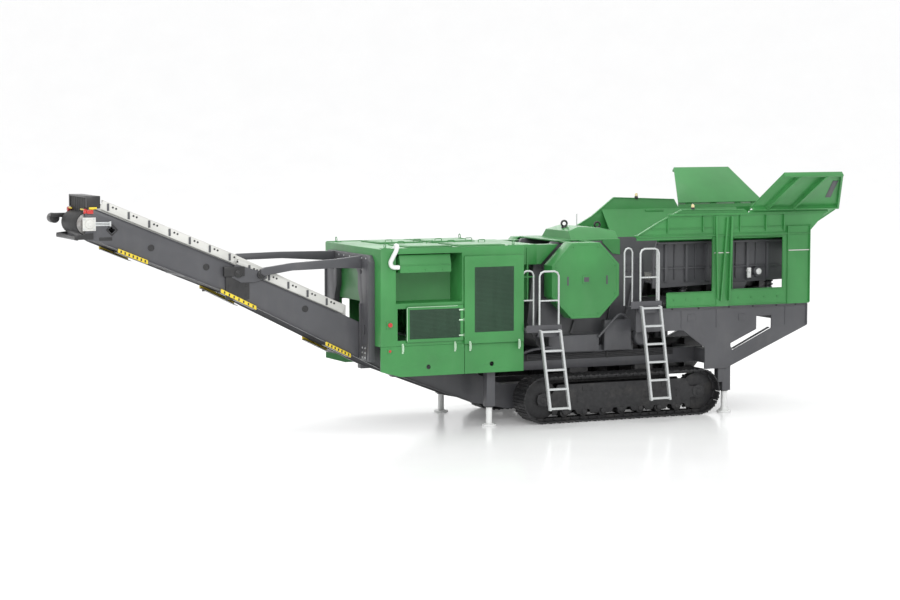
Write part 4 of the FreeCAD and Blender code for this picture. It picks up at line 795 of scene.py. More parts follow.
lamp = Work(-1)
lamp.turned((-7.462, -0.560, 4.215), (-1, 0, 0), [(-0.03, 0.050), (0.012, 0.050), (0.022, 0.042),
                                                  (0.026, 0.0)], 24)
lamp.bar((-7.44, -0.640, 4.175), (-7.33, -0.600, 4.245))
lamp.finished("head_lamps", red.material, edge=0.004)
yellow_enamel = sprayed_enamel("yellow enamel", (0.74, 0.56, 0.025), 0.30, 0.05, 0.20)
finish_of["yellow_paint"] = yellow_enamel
tabs = Work(-1)
tabs.bar((-7.40, -0.625, 4.252), (-7.26, -0.598, 4.292))
tabs.bar((-7.478, -0.50, 4.235), (-7.462, -0.30, 4.262))
tabs.finished("head_tabs", yellow_enamel, edge=0.003)

bearings = Work()
for x, z in ((-7.40, 3.99),):
    bearings.plate([(x - 0.12, -plate_y + 0.002, z - 0.12), (x + 0.12, -plate_y + 0.002, z - 0.12),
                    (x + 0.12, -plate_y + 0.002, z + 0.12), (x - 0.12, -plate_y + 0.002, z + 0.12)], (0,
                                                                                                      -0.022, 0))
    bearings.turned((x, -plate_y - 0.018, z), (0, -1, 0),
                    [(0, 0.085), (0.030, 0.078), (0.045, 0.055), (0.047, 0.032),
                                                           (0.070, 0.030), (0.072, 0.0)], 28)
bearings.finished("head_bearing", finish_of["light_grey_paint"], edge=0.004)
bolts("bearing_bolts", [((-7.40 + dx, -plate_y - 0.020, 3.99 + dz), (0, -1, 0)) for dx in (-0.09, 0.09)
                        for dz in (-0.09, 0.09)], 0.014)
slide = Work(-1)
slide.bar((-7.30, -0.622, 3.955), (-7.02, -0.600, 3.975))
slide.bar((-7.30, -0.622, 4.005), (-7.02, -0.600, 4.025))
slide.rod((-7.30, -0.614, 3.99), (-7.00, -0.614, 3.99), 0.010, 10)
slide.bar((-7.03, -0.626, 3.945), (-7.00, -0.600, 4.035))
slide.finished("belt_tensioner", galvanised, edge=0.002)

# ---------------------------------------------------------------------------
# Roller guards: yellow folded guards with slots, bolted under the lower lip
# beside each pair of return rollers. The slots are black bars of painted shade,
# and a black strip along each guard's lower edge is painted shade under it.
# ---------------------------------------------------------------------------
edged("roller_guards", "yellow_paint", edge=0.005)
# Painted shade: black bars stand for the shaded slots in each guard, and a thin black strip along its lower edge
# for the shade under it.
guard_slots = Work(-1)
for x0, z0, x1, z1 in ((-6.88, 3.50, -6.33, 3.275), (-4.95, 2.715, -4.27, 2.375), (-2.90, 1.66, -2.40, 1.41)):
    for i in range(7):
        t = (i + 0.7) / 7.4
        x, z = x0 + (x1 - x0) * t, z0 + (z1 - z0) * t
        guard_slots.bar((x - 0.014, -plate_y - 0.0415, z - 0.016), (x + 0.014, -plate_y - 0.038, z + 0.030))
    outline, y0, y1 = along_slope(x0, z0 - 0.03, x1, z1 - 0.03, -plate_y - 0.039, -plate_y + 0.20, 0.008,
                                  -0.006)
    guard_slots.side_plate(outline, y0, y1)
guard_slots.finished("guard_slots", black_enamel, edge=0.0)

# ---------------------------------------------------------------------------
# Chassis: two welded box beams with cross members, the raking rear flanks and
# four jack legs, all sprayed dark grey. Flanges stiffen every long edge.
# ---------------------------------------------------------------------------
for part in ("chassis_beams", "chassis_cross_members", "rear_side_plates", "jack_legs"):
    edged(part, "dark_grey_paint", edge=0.008)
flank_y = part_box("rear_side_plates")[1].y

trim = Work(-1)
for outline in ([(5.36, 0.902), (7.226, 1.692)], [(5.52, 1.270), (6.37, 1.668)]):
    (x0, z0), (x1, z1) = outline
    strip, y0, y1 = along_slope(x0, z0, x1, z1, -flank_y + 0.03, -flank_y + 0.12, 0.012, 0.0)
    trim.side_plate(strip, y0, y1)
trim.bar((7.205, -flank_y - 0.018, 1.700), (7.229, -flank_y + 0.12, 2.130))
trim.bar((3.40, -flank_y - 0.012, 2.085), (7.20, -flank_y + 0.01, 2.100))
for x in (4.30, 5.10, 6.70):
    trim.bar((x, -flank_y - 0.010, 1.72), (x + 0.014, -flank_y + 0.01, 2.09))
for x0, z0 in ((4.45, 1.86), (5.62, 1.83)):
    trim.bar((x0, -flank_y - 0.008, z0), (x0 + 0.16, -flank_y + 0.01, z0 + 0.14))
trim.finished("flank_trim", dark_grey_enamel, edge=0.003)
bolts("flank_bolts", [((x, -flank_y - 0.001, 2.115), (0, -1, 0)) for x in (3.70, 4.10, 4.70, 5.40, 5.95,
                                                                           6.50, 6.95)],
      0.015, black_enamel, far_side=True)

side_gear = Work(-1)
side_gear.bar((1.55, -1.06, 1.33), (2.65, -0.90, 1.66))
side_gear.bar((2.80, -1.00, 1.32), (3.40, -0.90, 1.92))
side_gear.turned((3.62, -1.02, 1.55), (0, -1, 0), [(-0.14, 0.16), (0.0, 0.16), (0.03, 0.13), (0.04, 0.06),
                                                   (0.05, 0.0)], 32)
side_gear.pipe(smooth_run([(1.60, -1.08, 1.45), (1.20, -1.10, 1.42), (0.95, -1.02, 1.34),
                           (0.60, -0.95, 1.32)]), 0.028, 12)
side_gear.pipe(smooth_run([(2.62, -1.08, 1.60), (3.00, -1.10, 1.98), (3.20, -1.02, 2.02),
                           (3.38, -0.96, 1.90)]), 0.024, 12)
side_gear.finished("side_tanks", dark_grey_enamel, edge=0.018)
lines = Work(-1)
for i in range(4):
    z = 1.19 + i * 0.030
    lines.pipe([(-0.10, -0.892, z), (0.55, -0.892, z), (2.00, -0.892, z), (4.40, -0.892, z)], 0.009, 8)
for x in (0.55, 1.15, 2.00, 2.90, 3.80):
    lines.bar((x, -0.904, 1.175), (x + 0.03, -0.880, 1.30))
lines.finished("hydraulic_lines", black_enamel, edge=0.001)

for side in ("near", "far"):
    for place in ("front", "rear"):
        edged(place + "_jack_foot_" + side, "white_paint", place + "_foot_" + side, 0.006)
        low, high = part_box(place + "_jack_foot_" + side)
        middle = (low + high) / 2
        sole = Work()
        rise = 0.072 if place == "rear" else 0.020
        sole.turned((middle.x, middle.y, 0.036), (0, 0, 1),
                    [(0.0, 0.085), (rise * 0.70, 0.070), (rise * 0.97, 0.064),
                                                             (rise, 0.060)], 28)
        for k in range(4):
            a = math.radians(45 + 90 * k)
            c, s = math.cos(a), math.sin(a)
            sole.plate([(middle.x + c * 0.058 - s * 0.006, middle.y + s * 0.058 + c * 0.006, 0.038),
                        (middle.x + c * 0.130 - s * 0.006, middle.y + s * 0.130 + c * 0.006, 0.038),
                        (middle.x + c * 0.058 - s * 0.006, middle.y + s * 0.058 + c * 0.006, 0.038 + rise)],
                       (s * 0.012, -c * 0.012, 0))
        sole.finished(place + "_foot_ribs_" + side, white_enamel, place + "_foot_" + side,
                      0.002)
collars = Work(-1)
for x, y, z in ((0.245, -1.12, 0.385), (5.375, -1.25, 0.455)):
    collars.turned((x, y, z), (0, 0, -1), [(-0.003, 0.082), (0.020, 0.082), (0.022, 0.068), (0.0, 0.067)], 28)
collars.finished("jack_collars", black_enamel, edge=0.0)

# ---------------------------------------------------------------------------
# Tracks: forged shoes with raised bars, bolted to an endless chain that runs
# round a toothed sprocket, a plain idler and a row of rollers in a welded frame.
# ---------------------------------------------------------------------------


def track_metal(name, colour):
    """Forged steel, dark with oil, rubbed bright where it meets the ground."""
    f = Finish(name)
    scale = f.cloud(12.0, 7.0, 0.6)
    base = f.ramp(scale, [(0.30, tuple(c * 0.6 for c in colour)), (0.70, colour)])
    f.colour(f.over(base, (0.11, 0.10, 0.085), f.mask(f.cloud(3.0, 8.0, 0.65), 0.52, 0.82, 0.30)))
    f.value("Roughness", scale, 0.62, 0.40)
    f.relief([(f.cloud(70.0, 5.0), 0.20, 0.002)])
    f.shader.inputs["Metallic"].default_value = 0.25
    return f.material


track_iron = track_metal("track steel", (0.030, 0.030, 0.032))
finish_of["track_steel"] = track_iron
low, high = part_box("track_chains")
track_outer = high.y
wheel_z = (low.z + high.z) / 2
wheel_front, wheel_rear = low.x + wheel_z, high.x - wheel_z
shoe_width, shoe_count, plate_radius = 0.50, 50, 0.440

shoe = Work()
pitch = 2 * ((wheel_rear - wheel_front) + math.pi * plate_radius) / shoe_count
half, gap = shoe_width / 2, 0.006
shoe.plate([(-pitch / 2 + gap, -half, -0.022), (pitch / 2 - gap, -half, -0.022),
            (pitch / 2 - gap, -half, 0.0),
            (0.045, -half, 0.0), (0.036, -half, 0.0195), (0.014, -half, 0.0195), (0.0, -half, 0.002),
            (-0.030, -half, 0.002), (-0.038, -half, 0.013), (-0.056, -half, 0.013), (-0.066, -half, 0.0),
            (-pitch / 2 + gap, -half, 0.0)], (0, shoe_width, 0))
for y in (-0.085, 0.085):
    shoe.plate([(-pitch / 2 - 0.022, y - 0.018, -0.074), (pitch / 2 - 0.030, y - 0.018, -0.074),
                (pitch / 2 - 0.014, y - 0.018, -0.040), (pitch / 2 - 0.020, y - 0.018, -0.021),
                (-pitch / 2 + 0.006, y - 0.018, -0.021), (-pitch / 2 - 0.026, y - 0.018, -0.046)], (0,
                                                                                                    0.036, 0))
    for x in (-0.060, 0.058):
        shoe.turned((x, y, -0.001), (0, 0, 1), [(0.0, 0.015), (0.010, 0.015), (0.011, 0.0)], 6)
shoe.rod((-pitch / 2, -0.125, -0.048), (-pitch / 2, 0.125, -0.048), 0.021, 10)
shoe = pattern("track_shoe", shoe)

shoe_spots = []
straight = wheel_rear - wheel_front
turn_length = math.pi * plate_radius
for i in range(shoe_count):
    run = i * pitch
    if run < straight:
        turn, centre = 0.0, wheel_front + run
    elif run < straight + turn_length:
        turn, centre = (run - straight) / plate_radius, wheel_rear
    elif run < 2 * straight + turn_length:
        turn, centre = math.pi, wheel_rear - (run - straight - turn_length)
    else:
        turn, centre = math.pi + (run - 2 * straight - turn_length) / plate_radius, wheel_front
    outward = Vector((math.sin(turn), 0, math.cos(turn)))
    spot = Vector((centre, -track_outer + shoe_width / 2, wheel_z)) + outward * plate_radius
    shoe_spots.append((spot, outward, (math.cos(turn), 0, -math.sin(turn))))
for side, name in ((1, "near"), (-1, "far")):
    spots = [((p.x, p.y * side, p.z), f, a) for p, f, a in shoe_spots]
    shoes = set_out("track_shoes_" + name, spots, shoe, track_iron, angle=30)
    if name == "near":
        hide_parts("track_chains")

edged("track_frames", "track_steel", edge=0.006)
edged("track_wheels", "track_steel", edge=0.008)
frame_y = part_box("track_frames")[1].y
gear = Work(-1)
for x in (wheel_front, wheel_rear):
    gear.turned((x, -frame_y + 0.025, wheel_z), (0, -1, 0),
                [(-0.02, 0.135), (0.032, 0.135), (0.040, 0.120), (0.046, 0.070),
                                                             (0.060, 0.062), (0.062, 0.0)], 32)
for k in range(21):
    a = 2 * math.pi * (k + 0.5) / 21
    c, s = math.cos(a), math.sin(a)
    across = Vector((-s, 0, c))
    hub = Vector((wheel_rear, -track_outer + shoe_width / 2 - 0.035, wheel_z))
    ray = Vector((c, 0, s))
    gear.plate([hub + ray * 0.350 - across * 0.034, hub + ray * 0.350 + across * 0.034,
                hub + ray * 0.412 + across * 0.013, hub + ray * 0.412 - across * 0.013], (0, 0.070, 0))
gear.finished("track_hubs", track_iron, edge=0.003)
bolts("hub_bolts", [((x + 0.098 * math.cos(a), -frame_y - 0.008, wheel_z + 0.098 * math.sin(a)), (0, -1, 0))
                    for x in (wheel_front,
                              wheel_rear) for a in (math.radians(30 + 60 * k) for k in range(6))],
      0.012, track_iron, far_side=True)
roller_ends = Work(-1)
for i in range(7):
    x = wheel_front + 0.475 + i * (wheel_rear - wheel_front - 0.95) / 6
    roller_ends.turned((x, -frame_y + 0.002, 0.190), (0, -1, 0),
                       [(-0.004, 0.052), (0.010, 0.050), (0.016, 0.030),
                                                                  (0.017, 0.0)], 20)
for x in (2.15, 3.90):
    roller_ends.bar((x, -frame_y - 0.010, 0.60), (x + 0.22, -frame_y + 0.005, 0.70))
roller_ends.finished("track_roller_ends", track_iron, edge=0.002)
bolts("track_frame_bolts", [((x, -frame_y - 0.001, z), (0, -1, 0)) for x in (1.80, 2.05, 3.75, 4.25)
                            for z in (0.40, 0.52)], 0.013, track_iron, far_side=True)

# ---------------------------------------------------------------------------
# Jaw crusher: welded cheeks of thick plate, the swinging jaw on its shaft, and
# a heavy cast wheel on each end of the shaft behind an eight-sided guard.
# ---------------------------------------------------------------------------
edged("crusher_frame", "dark_grey_paint", edge=0.012)
edged("crusher_jaw", "bare_steel", edge=0.015)
edged("crusher_flywheels", "dark_grey_paint", edge=0.010)
low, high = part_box("flywheel_guards")
guard_x, guard_z = (low.x + high.x) / 2, 2.74
jaw_y = 0.70
cheek = Work(-1)
for (x0, z0), (x1, z1) in (((1.50, 1.90), (1.62, 3.00)), ((2.95, 1.35), (3.25, 3.05)),
                           ((1.45, 1.62), (3.62, 1.62)),
                           ((2.05, 1.20), (2.30, 1.90)), ((3.35, 1.60), (3.60, 2.60))):
    strip, y0, y1 = along_slope(x0, z0, x1, z1, -jaw_y - 0.055, -jaw_y + 0.01, 0.045)
    cheek.side_plate(strip, y0, y1)
cheek.turned((guard_x, -jaw_y + 0.01, guard_z), (0, -1, 0), [(0.0, 0.30), (0.060, 0.30), (0.075, 0.27),
                                                             (0.085, 0.19), (0.10, 0.18),
                                                       (0.105, 0.135)], 40)
cheek.finished("cheek_ribs", dark_grey_enamel, edge=0.005)
bolts("cheek_bolts", [((x, -jaw_y - 0.001, z), (0, -1, 0)) for x in (3.66, 3.56, 3.46) for z in (2.85, 2.98)]
      + [((x, -0.86, 1.421), (0, 0, 1)) for x in (1.95, 2.25, 3.15, 3.45)], 0.022, dark_grey_enamel,
      far_side=True)

edged("flywheel_guards", "green_paint", edge=0.012)
guard_face = high.y
guard = Work(-1)
guard.bar((guard_x - 0.08, -guard_face - 0.010, guard_z - 0.06),
          (guard_x + 0.10, -guard_face + 0.004, guard_z + 0.10))
for k in range(8):
    a = math.pi / 8 + k * math.pi / 4
    b = a + math.pi / 4
    r0, r1 = 0.760, 0.735
    outline = [(guard_x + r * math.cos(t), -guard_face - 0.003, guard_z + r * math.sin(t))
               for r, t in ((r0, a), (r0, b), (r1, b), (r1, a))]
    guard.plate(outline, (0, 0.006, 0))
guard.finished("guard_face_trim", green_enamel, edge=0.002)
# Painted shade: two dark grey bars stand for the shaded slots in the guard face; a dark grey square sits on the
# centre boss.
slot_shade_and_boss_patch = Work(-1)
for x in (guard_x - 0.39, guard_x + 0.46):
    slot_shade_and_boss_patch.bar((x - 0.018, -guard_face - 0.0035, guard_z - 0.085),
              (x + 0.018, -guard_face + 0.002, guard_z + 0.085))
slot_shade_and_boss_patch.bar((guard_x - 0.045, -guard_face - 0.0125, guard_z - 0.025),
          (guard_x + 0.065, -guard_face - 0.008, guard_z + 0.065))
slot_shade_and_boss_patch.finished("guard_slots_near", dark_grey_enamel, edge=0.001)
bolts("guard_bolts", [((guard_x + 0.700 * math.cos(a), -guard_face - 0.001,
                        guard_z + 0.700 * math.sin(a)), (0, -1, 0))
                      for a in (math.radians(22.5 + 45 * k) for k in range(8))], 0.013, green_enamel,
      far_side=True)

edged("crusher_top_cover", "green_paint", edge=0.009, angle=12)
cover = Work()
for x, z in ((2.42, 3.700), (3.16, 3.660)):
    cover.turned((x, 0, z - 0.02), (0, 0, 1), [(0.0, 0.060), (0.035, 0.055), (0.050, 0.035),
                                               (0.052, 0.0)], 24)
    cover.pipe([(x + 0.060 * math.cos(t), 0, z + 0.075 + 0.055 * math.sin(t))
                for t in (2 * math.pi * k / 24 for k in range(24))], 0.020, 12, loop=True)
cover.finished("cover_eyes", black_enamel, edge=0.0)
pin = Work()
pin.rod((2.70, 0, 3.70), (2.70, 0, 3.96), 0.010, 10)
pin.turned((2.70, 0, 3.69), (0, 0, 1), [(0.0, 0.030), (0.03, 0.028), (0.032, 0.012)], 16)
pin.finished("cover_pin", galvanised, edge=0.0)

# ---------------------------------------------------------------------------
# Feeder: a vibrating pan of dark ribbed plate on coil springs, shaken by a
# motor under its floor, with finger bars where it meets the crusher.
# ---------------------------------------------------------------------------
edged("feeder_pan", "dark_grey_paint", edge=0.006)
pan_y = 0.94
pan = Work(-1)
for x in (4.38, 4.85, 5.32, 5.79, 6.26):
    pan.bar((x, -pan_y - 0.028, 2.66), (x + 0.022, -pan_y + 0.002, 3.36))
pan.bar((3.98, -pan_y - 0.062, 3.375), (6.97, -pan_y + 0.002, 3.415))
pan.bar((3.95, -pan_y - 0.050, 2.880), (6.92, -pan_y + 0.002, 2.905))
pan.side_plate([(5.30, 2.56), (6.05, 2.58), (5.86, 2.20), (5.46, 2.20)], -0.99, -0.93)
pan.finished("feeder_ribs", dark_grey_enamel, edge=0.003)
motor = Work(-1)
motor.turned((6.28, -0.97, 2.78), (0, -1, 0), [(-0.10, 0.10), (0.06, 0.10), (0.07, 0.085), (0.085, 0.080),
                                               (0.090, 0.0)], 28)
motor.finished("feeder_motor", dark_grey_enamel, edge=0.003)
motor_caps = Work(-1)
for x, z, r in ((6.28, 2.78, 0.062), (6.06, 2.80, 0.040)):
    motor_caps.turned((x, -1.055, z), (0, -1, 0), [(-0.06, r), (0.012, r), (0.020, r * 0.8),
                                                   (0.022, 0.0)], 22)
motor_caps.bar((6.02, -1.06, 2.66), (6.10, -1.02, 2.86))
motor_caps.finished("motor_caps", white_enamel, edge=0.003)
fingers = Work()
for i in range(12):
    y = -0.80 + i * 1.60 / 11
    fingers.side_plate([(3.885, 2.655), (4.55, 2.690), (4.55, 2.715), (3.885, 2.740)], y - 0.022, y + 0.022)
fingers.finished("grizzly_bars", finish_of["bare_steel"], edge=0.003)

edged("feeder_mounts", "dark_grey_paint", edge=0.005)
spring = Work(-1)
for x, top in ((4.72, 2.645), (6.73, 2.750)):
    turns, steps = 4, 72
    coil = [(x + 0.088 * math.cos(2 * math.pi * turns * k / steps),
             -0.70 + 0.088 * math.sin(2 * math.pi * turns * k / steps),
             2.42 + (top - 2.45) * k / steps) for k in range(steps + 1)]
    spring.pipe(coil, 0.013, 8)
spring.finished("feeder_springs", black_enamel, edge=0.0)

# ---------------------------------------------------------------------------
# Hopper frame: green side frames with a window, two columns with raking twin
# ribs, and a ledge that carries the fixed walls. Flanges edge every opening.
# ---------------------------------------------------------------------------
edged("hopper_side_frames", "green_paint", edge=0.008)
wall_y = 1.42
ribs = Work(-1)
ribs.side_plate([(5.075, 2.30), (5.105, 2.30), (5.070, 3.93), (5.022, 3.93)], -wall_y - 0.048,
                -wall_y + 0.002)
ribs.side_plate([(5.335, 2.25), (5.365, 2.25), (5.425, 3.92), (5.380, 3.92)], -wall_y - 0.060,
                -wall_y + 0.002)
ribs.side_plate([(5.150, 2.25), (5.180, 2.25), (5.320, 3.90), (5.285, 3.90)], -wall_y - 0.050,
                -wall_y + 0.002)
ribs.bar((4.99, -1.428, 3.470), (5.00, -1.30, 3.575))
for x0, x1, z in ((3.97, 4.99, 2.436), (5.45, 6.61, 2.466), (5.45, 6.61, 3.486)):
    ribs.bar((x0, -1.424, z), (x1, -1.398, z + 0.012))
for x in (5.434, 6.608, 4.982):
    ribs.bar((x, -1.424, 2.48), (x + 0.012, -1.398, 3.48))
ribs.bar((6.715, -wall_y - 0.024, 2.16), (6.735, -wall_y + 0.002, 3.70))
ribs.bar((7.232, -wall_y - 0.024, 2.16), (7.252, -wall_y + 0.002, 3.70))
ribs.bar((3.30, -wall_y - 0.026, 3.540), (7.24, -wall_y + 0.002, 3.556))
ribs.bar((3.97, -1.412, 2.150), (7.24, -1.398, 2.166))
ribs.finished("column_ribs", green_enamel, edge=0.003)
bands = Work(-1)
for x0, x1, z in ((5.02, 5.40, 3.195), (6.725, 7.245, 3.205)):
    bands.bar((x0, -wall_y - 0.010, z), (x1, -wall_y + 0.002, z + 0.018))
bands.finished("column_bands", finish_of["light_grey_paint"], edge=0.002)
bolts("frame_bolts", [((x, -1.401, 2.30), (0, -1, 0)) for x in (4.12, 4.40, 4.68, 5.60, 5.90, 6.20,
                                                                6.50)], 0.015,
      green_enamel, far_side=True)

# ---------------------------------------------------------------------------
# Hopper walls: fixed plates that rise from the ledge and slope in to the
# feeder, the leaning rear wall, and a lamp on each wall's top edge.
# ---------------------------------------------------------------------------
edged("hopper_walls", "green_paint", edge=0.006)
edged("hopper_rear_wall", "green_paint", edge=0.006)
wall_tops = ((-1, 4.075, 4.060), (1, 4.220, 4.160))
for side, peak, shoulder in wall_tops:
    edge_strip = Work()
    for (x0, z0), (x1, z1) in (((4.29, peak - 0.002), (5.70, shoulder - 0.002)),
                               ((3.30, 3.590), (3.765, 3.838)),
                               ((3.775, 3.842), (4.275, peak - 0.006))):
        strip, y0, y1 = along_slope(x0, z0, x1, z1, 1.360, 1.428, 0.014, -0.016)
        edge_strip.side_plate(strip, side * y0, side * y1)
    edge_strip.finished("wall_edge_" + ("near" if side < 0 else "far"), green_enamel,
                        edge=0.003)
top_rim = Work(-1)
for x in (3.95, 4.75, 5.60, 6.20, 6.62):
    top_rim.plate([(x, -1.398, 3.60), (x, -1.440, 3.66), (x, -1.440, 3.92), (x, -1.398, 3.94)], (0.018, 0, 0))
top_rim.bar((3.98, -1.436, 3.945), (7.62, -1.398, 3.962))
top_rim.bar((3.60, -1.418, 3.690), (7.30, -1.398, 3.704))
top_rim.finished("wall_rims", green_enamel, edge=0.003)
rear = Work()
for y in (-1.10, -0.55, 0.0, 0.55, 1.10):
    rear.plate([(7.252, y - 0.020, 3.64), (7.330, y - 0.020, 3.64), (7.855, y - 0.020, 3.975),
                (7.858, y - 0.020, 4.000)],
               (0, 0.040, 0))
rear.bar((7.236, -1.36, 3.56), (7.262, 1.36, 3.63))
rear.finished("rear_wall_ribs", green_enamel, edge=0.003)
rear_beam = Work()
rear_beam.bar((7.205, -1.34, 2.56), (7.235, 1.34, 2.76))
rear_beam.bar((7.205, -1.34, 3.26), (7.235, 1.34, 3.40))
rear_beam.finished("rear_beams", green_enamel, edge=0.006)

beacon_feet = ((4.55, -1.375, 4.060), (4.81, 1.375, 4.184))
beacon = Work()
for foot in beacon_feet:
    beacon.turned(foot, (0, 0, 1), [(-0.01, 0.040), (0.030, 0.040), (0.032, 0.034), (0.050, 0.034)], 24)
beacon.finished("beacon_bases", black_enamel, edge=0.002)
amber = Finish("amber glass")
amber_shade = amber.cloud(24.0, 2.0)
amber.colour(amber.ramp(amber_shade, [(0.3, (0.62, 0.50, 0.22)), (0.7, (0.78, 0.68, 0.36))]))
amber.value("Roughness", amber_shade, 0.08, 0.18)
amber.relief([(amber.cloud(110.0, 2.0), 0.10, 0.001)])
amber.shader.inputs["Coat Weight"].default_value = 0.8
beacon = Work()
for x, y, z in beacon_feet:
    beacon.turned((x, y, z + 0.048), (0, 0, 1), [(0.0, 0.032), (0.042, 0.030), (0.060, 0.022),
                                                 (0.067, 0.0)], 24)
beacon.finished("beacon_domes", amber.material, edge=0.0)

# ---------------------------------------------------------------------------
# Hopper wings: flared flaps hinged on the wall tops, stiffened outside by two
# raking ribs and a rim; knuckles sit along the hinge, and a dark grey plate on
# each wing is painted shade for the window in it.
# ---------------------------------------------------------------------------
for side, sign in (("near", -1), ("far", 1)):
    wing_body = "wing_" + side
    edged("hopper_wing_" + side, "green_paint", wing_body, 0.006)
    lean = math.atan2(2.171 - 1.416, 4.783 - 4.065)
    run = Vector((0, sign * math.sin(lean), math.cos(lean)))
    out = Vector((0, sign * math.cos(lean), -math.sin(lean)))
    origin = Vector((5.834, sign * 1.416, 4.065))

    def on_wing(x, up, off, origin=origin, run=run, out=out):
        return origin + Vector((x, 0, 0)) + run * up + out * off

    wing = Work()
    for low_x, high_x in ((0.3425, 0.6725), (0.9625, 1.2925)):
        wing.faces_to([[on_wing(low_x + dx, 0.04, 0.074 + dz) for dx,
                        dz in ((-0.03, 0), (0.03, 0), (0.03, 0.010), (-0.03, 0.010))],
                       [on_wing(high_x + dx, 1.00, 0.074 + dz) for dx,
                        dz in ((-0.03, 0), (0.03, 0), (0.03, 0.010), (-0.03, 0.010))]])
    wing.faces_to([[on_wing(0.06, 0.025 + du, dz) for du,
                    dz in ((0, 0.070), (0.035, 0.070), (0.035, 0.084), (0, 0.084))],
                   [on_wing(2.02, 0.025 + du, dz) for du,
                    dz in ((0, 0.070), (0.035, 0.070), (0.035, 0.084), (0, 0.084))]])
    wing.finished("wing_caps_" + side, green_enamel, wing_body, 0.003)
    # Painted shade: a dark grey plate on the wing stands for the shade seen through its window.
    wing_window_shade = Work()
    wing_window_shade.faces_to([[on_wing(1.62 + dx, up, -0.003) for dx,
                     up in ((0, 0.30), (0.13, 0.30), (0.07, 0.80), (-0.06, 0.80))],
                    [on_wing(1.62 + dx, up, 0.006) for dx,
                     up in ((0, 0.30), (0.13, 0.30), (0.07, 0.80), (-0.06, 0.80))]])
    wing_window_shade.finished("wing_window_" + side, dark_grey_enamel, wing_body, 0.002)
    knuckles = Work()
    for x in (0.20, 0.80, 1.40, 1.80):
        knuckles.rod(on_wing(x, 0.0, 0.030), on_wing(x + 0.14, 0.0, 0.030), 0.022, 16)
    knuckles.finished("wing_knuckles_" + side, green_enamel, wing_body, 0.002)

# ---------------------------------------------------------------------------
# Between the beams: black ribbed plates under the feeder and in the chassis
# and black plates inside the tracks, painted shade for the dark space under the
# machine, and strapped oil tanks, all painted black.
# ---------------------------------------------------------------------------
# Painted shade: this black ribbed plate under the feeder stands for the shade there.
feeder_shade_plate = Work()
feeder_shade_plate.side_plate([(4.10, 2.30), (7.19, 2.30), (7.19, 2.64), (4.10, 2.64)], -0.03, 0.03)
for x in (4.30, 4.95, 5.60, 6.25, 6.85):
    feeder_shade_plate.bar((x, -0.16, 2.30), (x + 0.018, 0.16, 2.62))
feeder_shade_plate.bar((4.10, -0.12, 2.285), (7.19, 0.12, 2.305))
feeder_shade_plate.finished("feeder_spine", black_enamel, edge=0.003)
# Painted shade: a black ribbed plate in the chassis stands for the shade under it.
chassis_shade_plate = Work()
chassis_shade_plate.side_plate([(3.40, 0.78), (5.40, 0.78), (5.60, 1.00), (5.60, 1.42), (3.40, 1.42)], -0.02, 0.02)
for x in (3.60, 4.10, 4.60, 5.10):
    chassis_shade_plate.bar((x, -0.14, 0.80), (x + 0.020, 0.14, 1.40))
chassis_shade_plate.bar((3.40, -0.12, 0.765), (5.40, 0.12, 0.785))
chassis_shade_plate.finished("chassis_keel", black_enamel, edge=0.003)
# Painted shade: black plates inside the tracks stand for the shade under the machine.
track_shade_plate = Work(-1)
track_shade_plate.side_plate([(1.60, 0.12), (4.15, 0.12), (4.45, 0.30), (4.45, 0.64), (4.20, 0.81), (1.55, 0.81),
                    (1.30, 0.64),
                    (1.30, 0.30)], 0.900, 0.912)
track_shade_plate.finished("track_shields", black_enamel, edge=0.002)
tank = Work(-1)
tank.side_plate([(3.92, 1.62), (4.70, 1.62), (4.74, 1.66), (4.74, 2.06), (4.70, 2.10), (3.96, 2.10),
                 (3.92, 2.06)], 0.22, 0.52)
for x in (4.08, 4.32, 4.56):
    tank.bar((x, 0.205, 1.60), (x + 0.035, 0.535, 2.112))
tank.turned((4.25, 0.37, 2.10), (0, 0, 1), [(0.0, 0.055), (0.020, 0.055), (0.024, 0.045), (0.040, 0.040),
                                            (0.042, 0.0)], 24)
tank.finished("oil_tanks", black_enamel, edge=0.006)

# ---------------------------------------------------------------------------
# Access: grated platforms bracketed off the flank, leaning zinc ladders with
# flat treads, round-topped hand rails and the hoops beside them.
# ---------------------------------------------------------------------------
edged("platforms", "dark_grey_paint", edge=0.004)
edged("ladders", "galvanised_steel", edge=0.004)
ladders = ((1.335, 1.830), (3.525, 2.210))
rail_y = -1.49
rails = Work(-1)
hoops = Work(-1)
for x, z in ladders:
    half = 0.205
    top = z + 1.12
    rail = [(x - half, rail_y, z - 0.002), (x - half, rail_y, top - 0.09),
            (x - half + 0.03, rail_y, top - 0.028),
            (x - half + 0.09, rail_y, top - 0.001), (x + half - 0.09, rail_y, top - 0.001),
            (x + half - 0.03, rail_y, top - 0.028), (x + half, rail_y, top - 0.09), (x + half, rail_y,
                                                                                     z - 0.002)]
    rails.pipe(rail, 0.0195, 14)
    rails.rod((x - half, rail_y, z + 0.56), (x + half, rail_y, z + 0.56), 0.0165, 12)
    for side in (-1, 1):
        rails.turned((x + side * half, rail_y, z - 0.001), (0, 0, 1),
                     [(0.0, 0.042), (0.010, 0.042), (0.011, 0.024)], 16)
for x0, x1, z, top in ((0.865, 1.095, 1.83, 2.955), (3.125, 3.300, 2.21, 3.330)):
    y = -1.20 if x0 > 2 else -1.30
    hoop = [(x0, y, z - 0.002), (x0, y, top - 0.08), (x0 + 0.03, y, top - 0.02), (x0 + 0.08, y, top),
            (x1 - 0.08, y, top), (x1 - 0.03, y, top - 0.02), (x1, y, top - 0.08), (x1, y, z - 0.002)]
    rails.pipe(hoop, 0.018, 12)
    rails.rod((x0, y, z + 0.56), (x1, y, z + 0.56), 0.015, 10)
rails.finished("hand_rails", galvanised, edge=0.0, stands_for=["railings"])
hoops.rod((3.78, -1.33, 2.138), (3.78, -1.33, 3.30), 0.024, 14)
hoops.finished("side_posts", galvanised, edge=0.0)

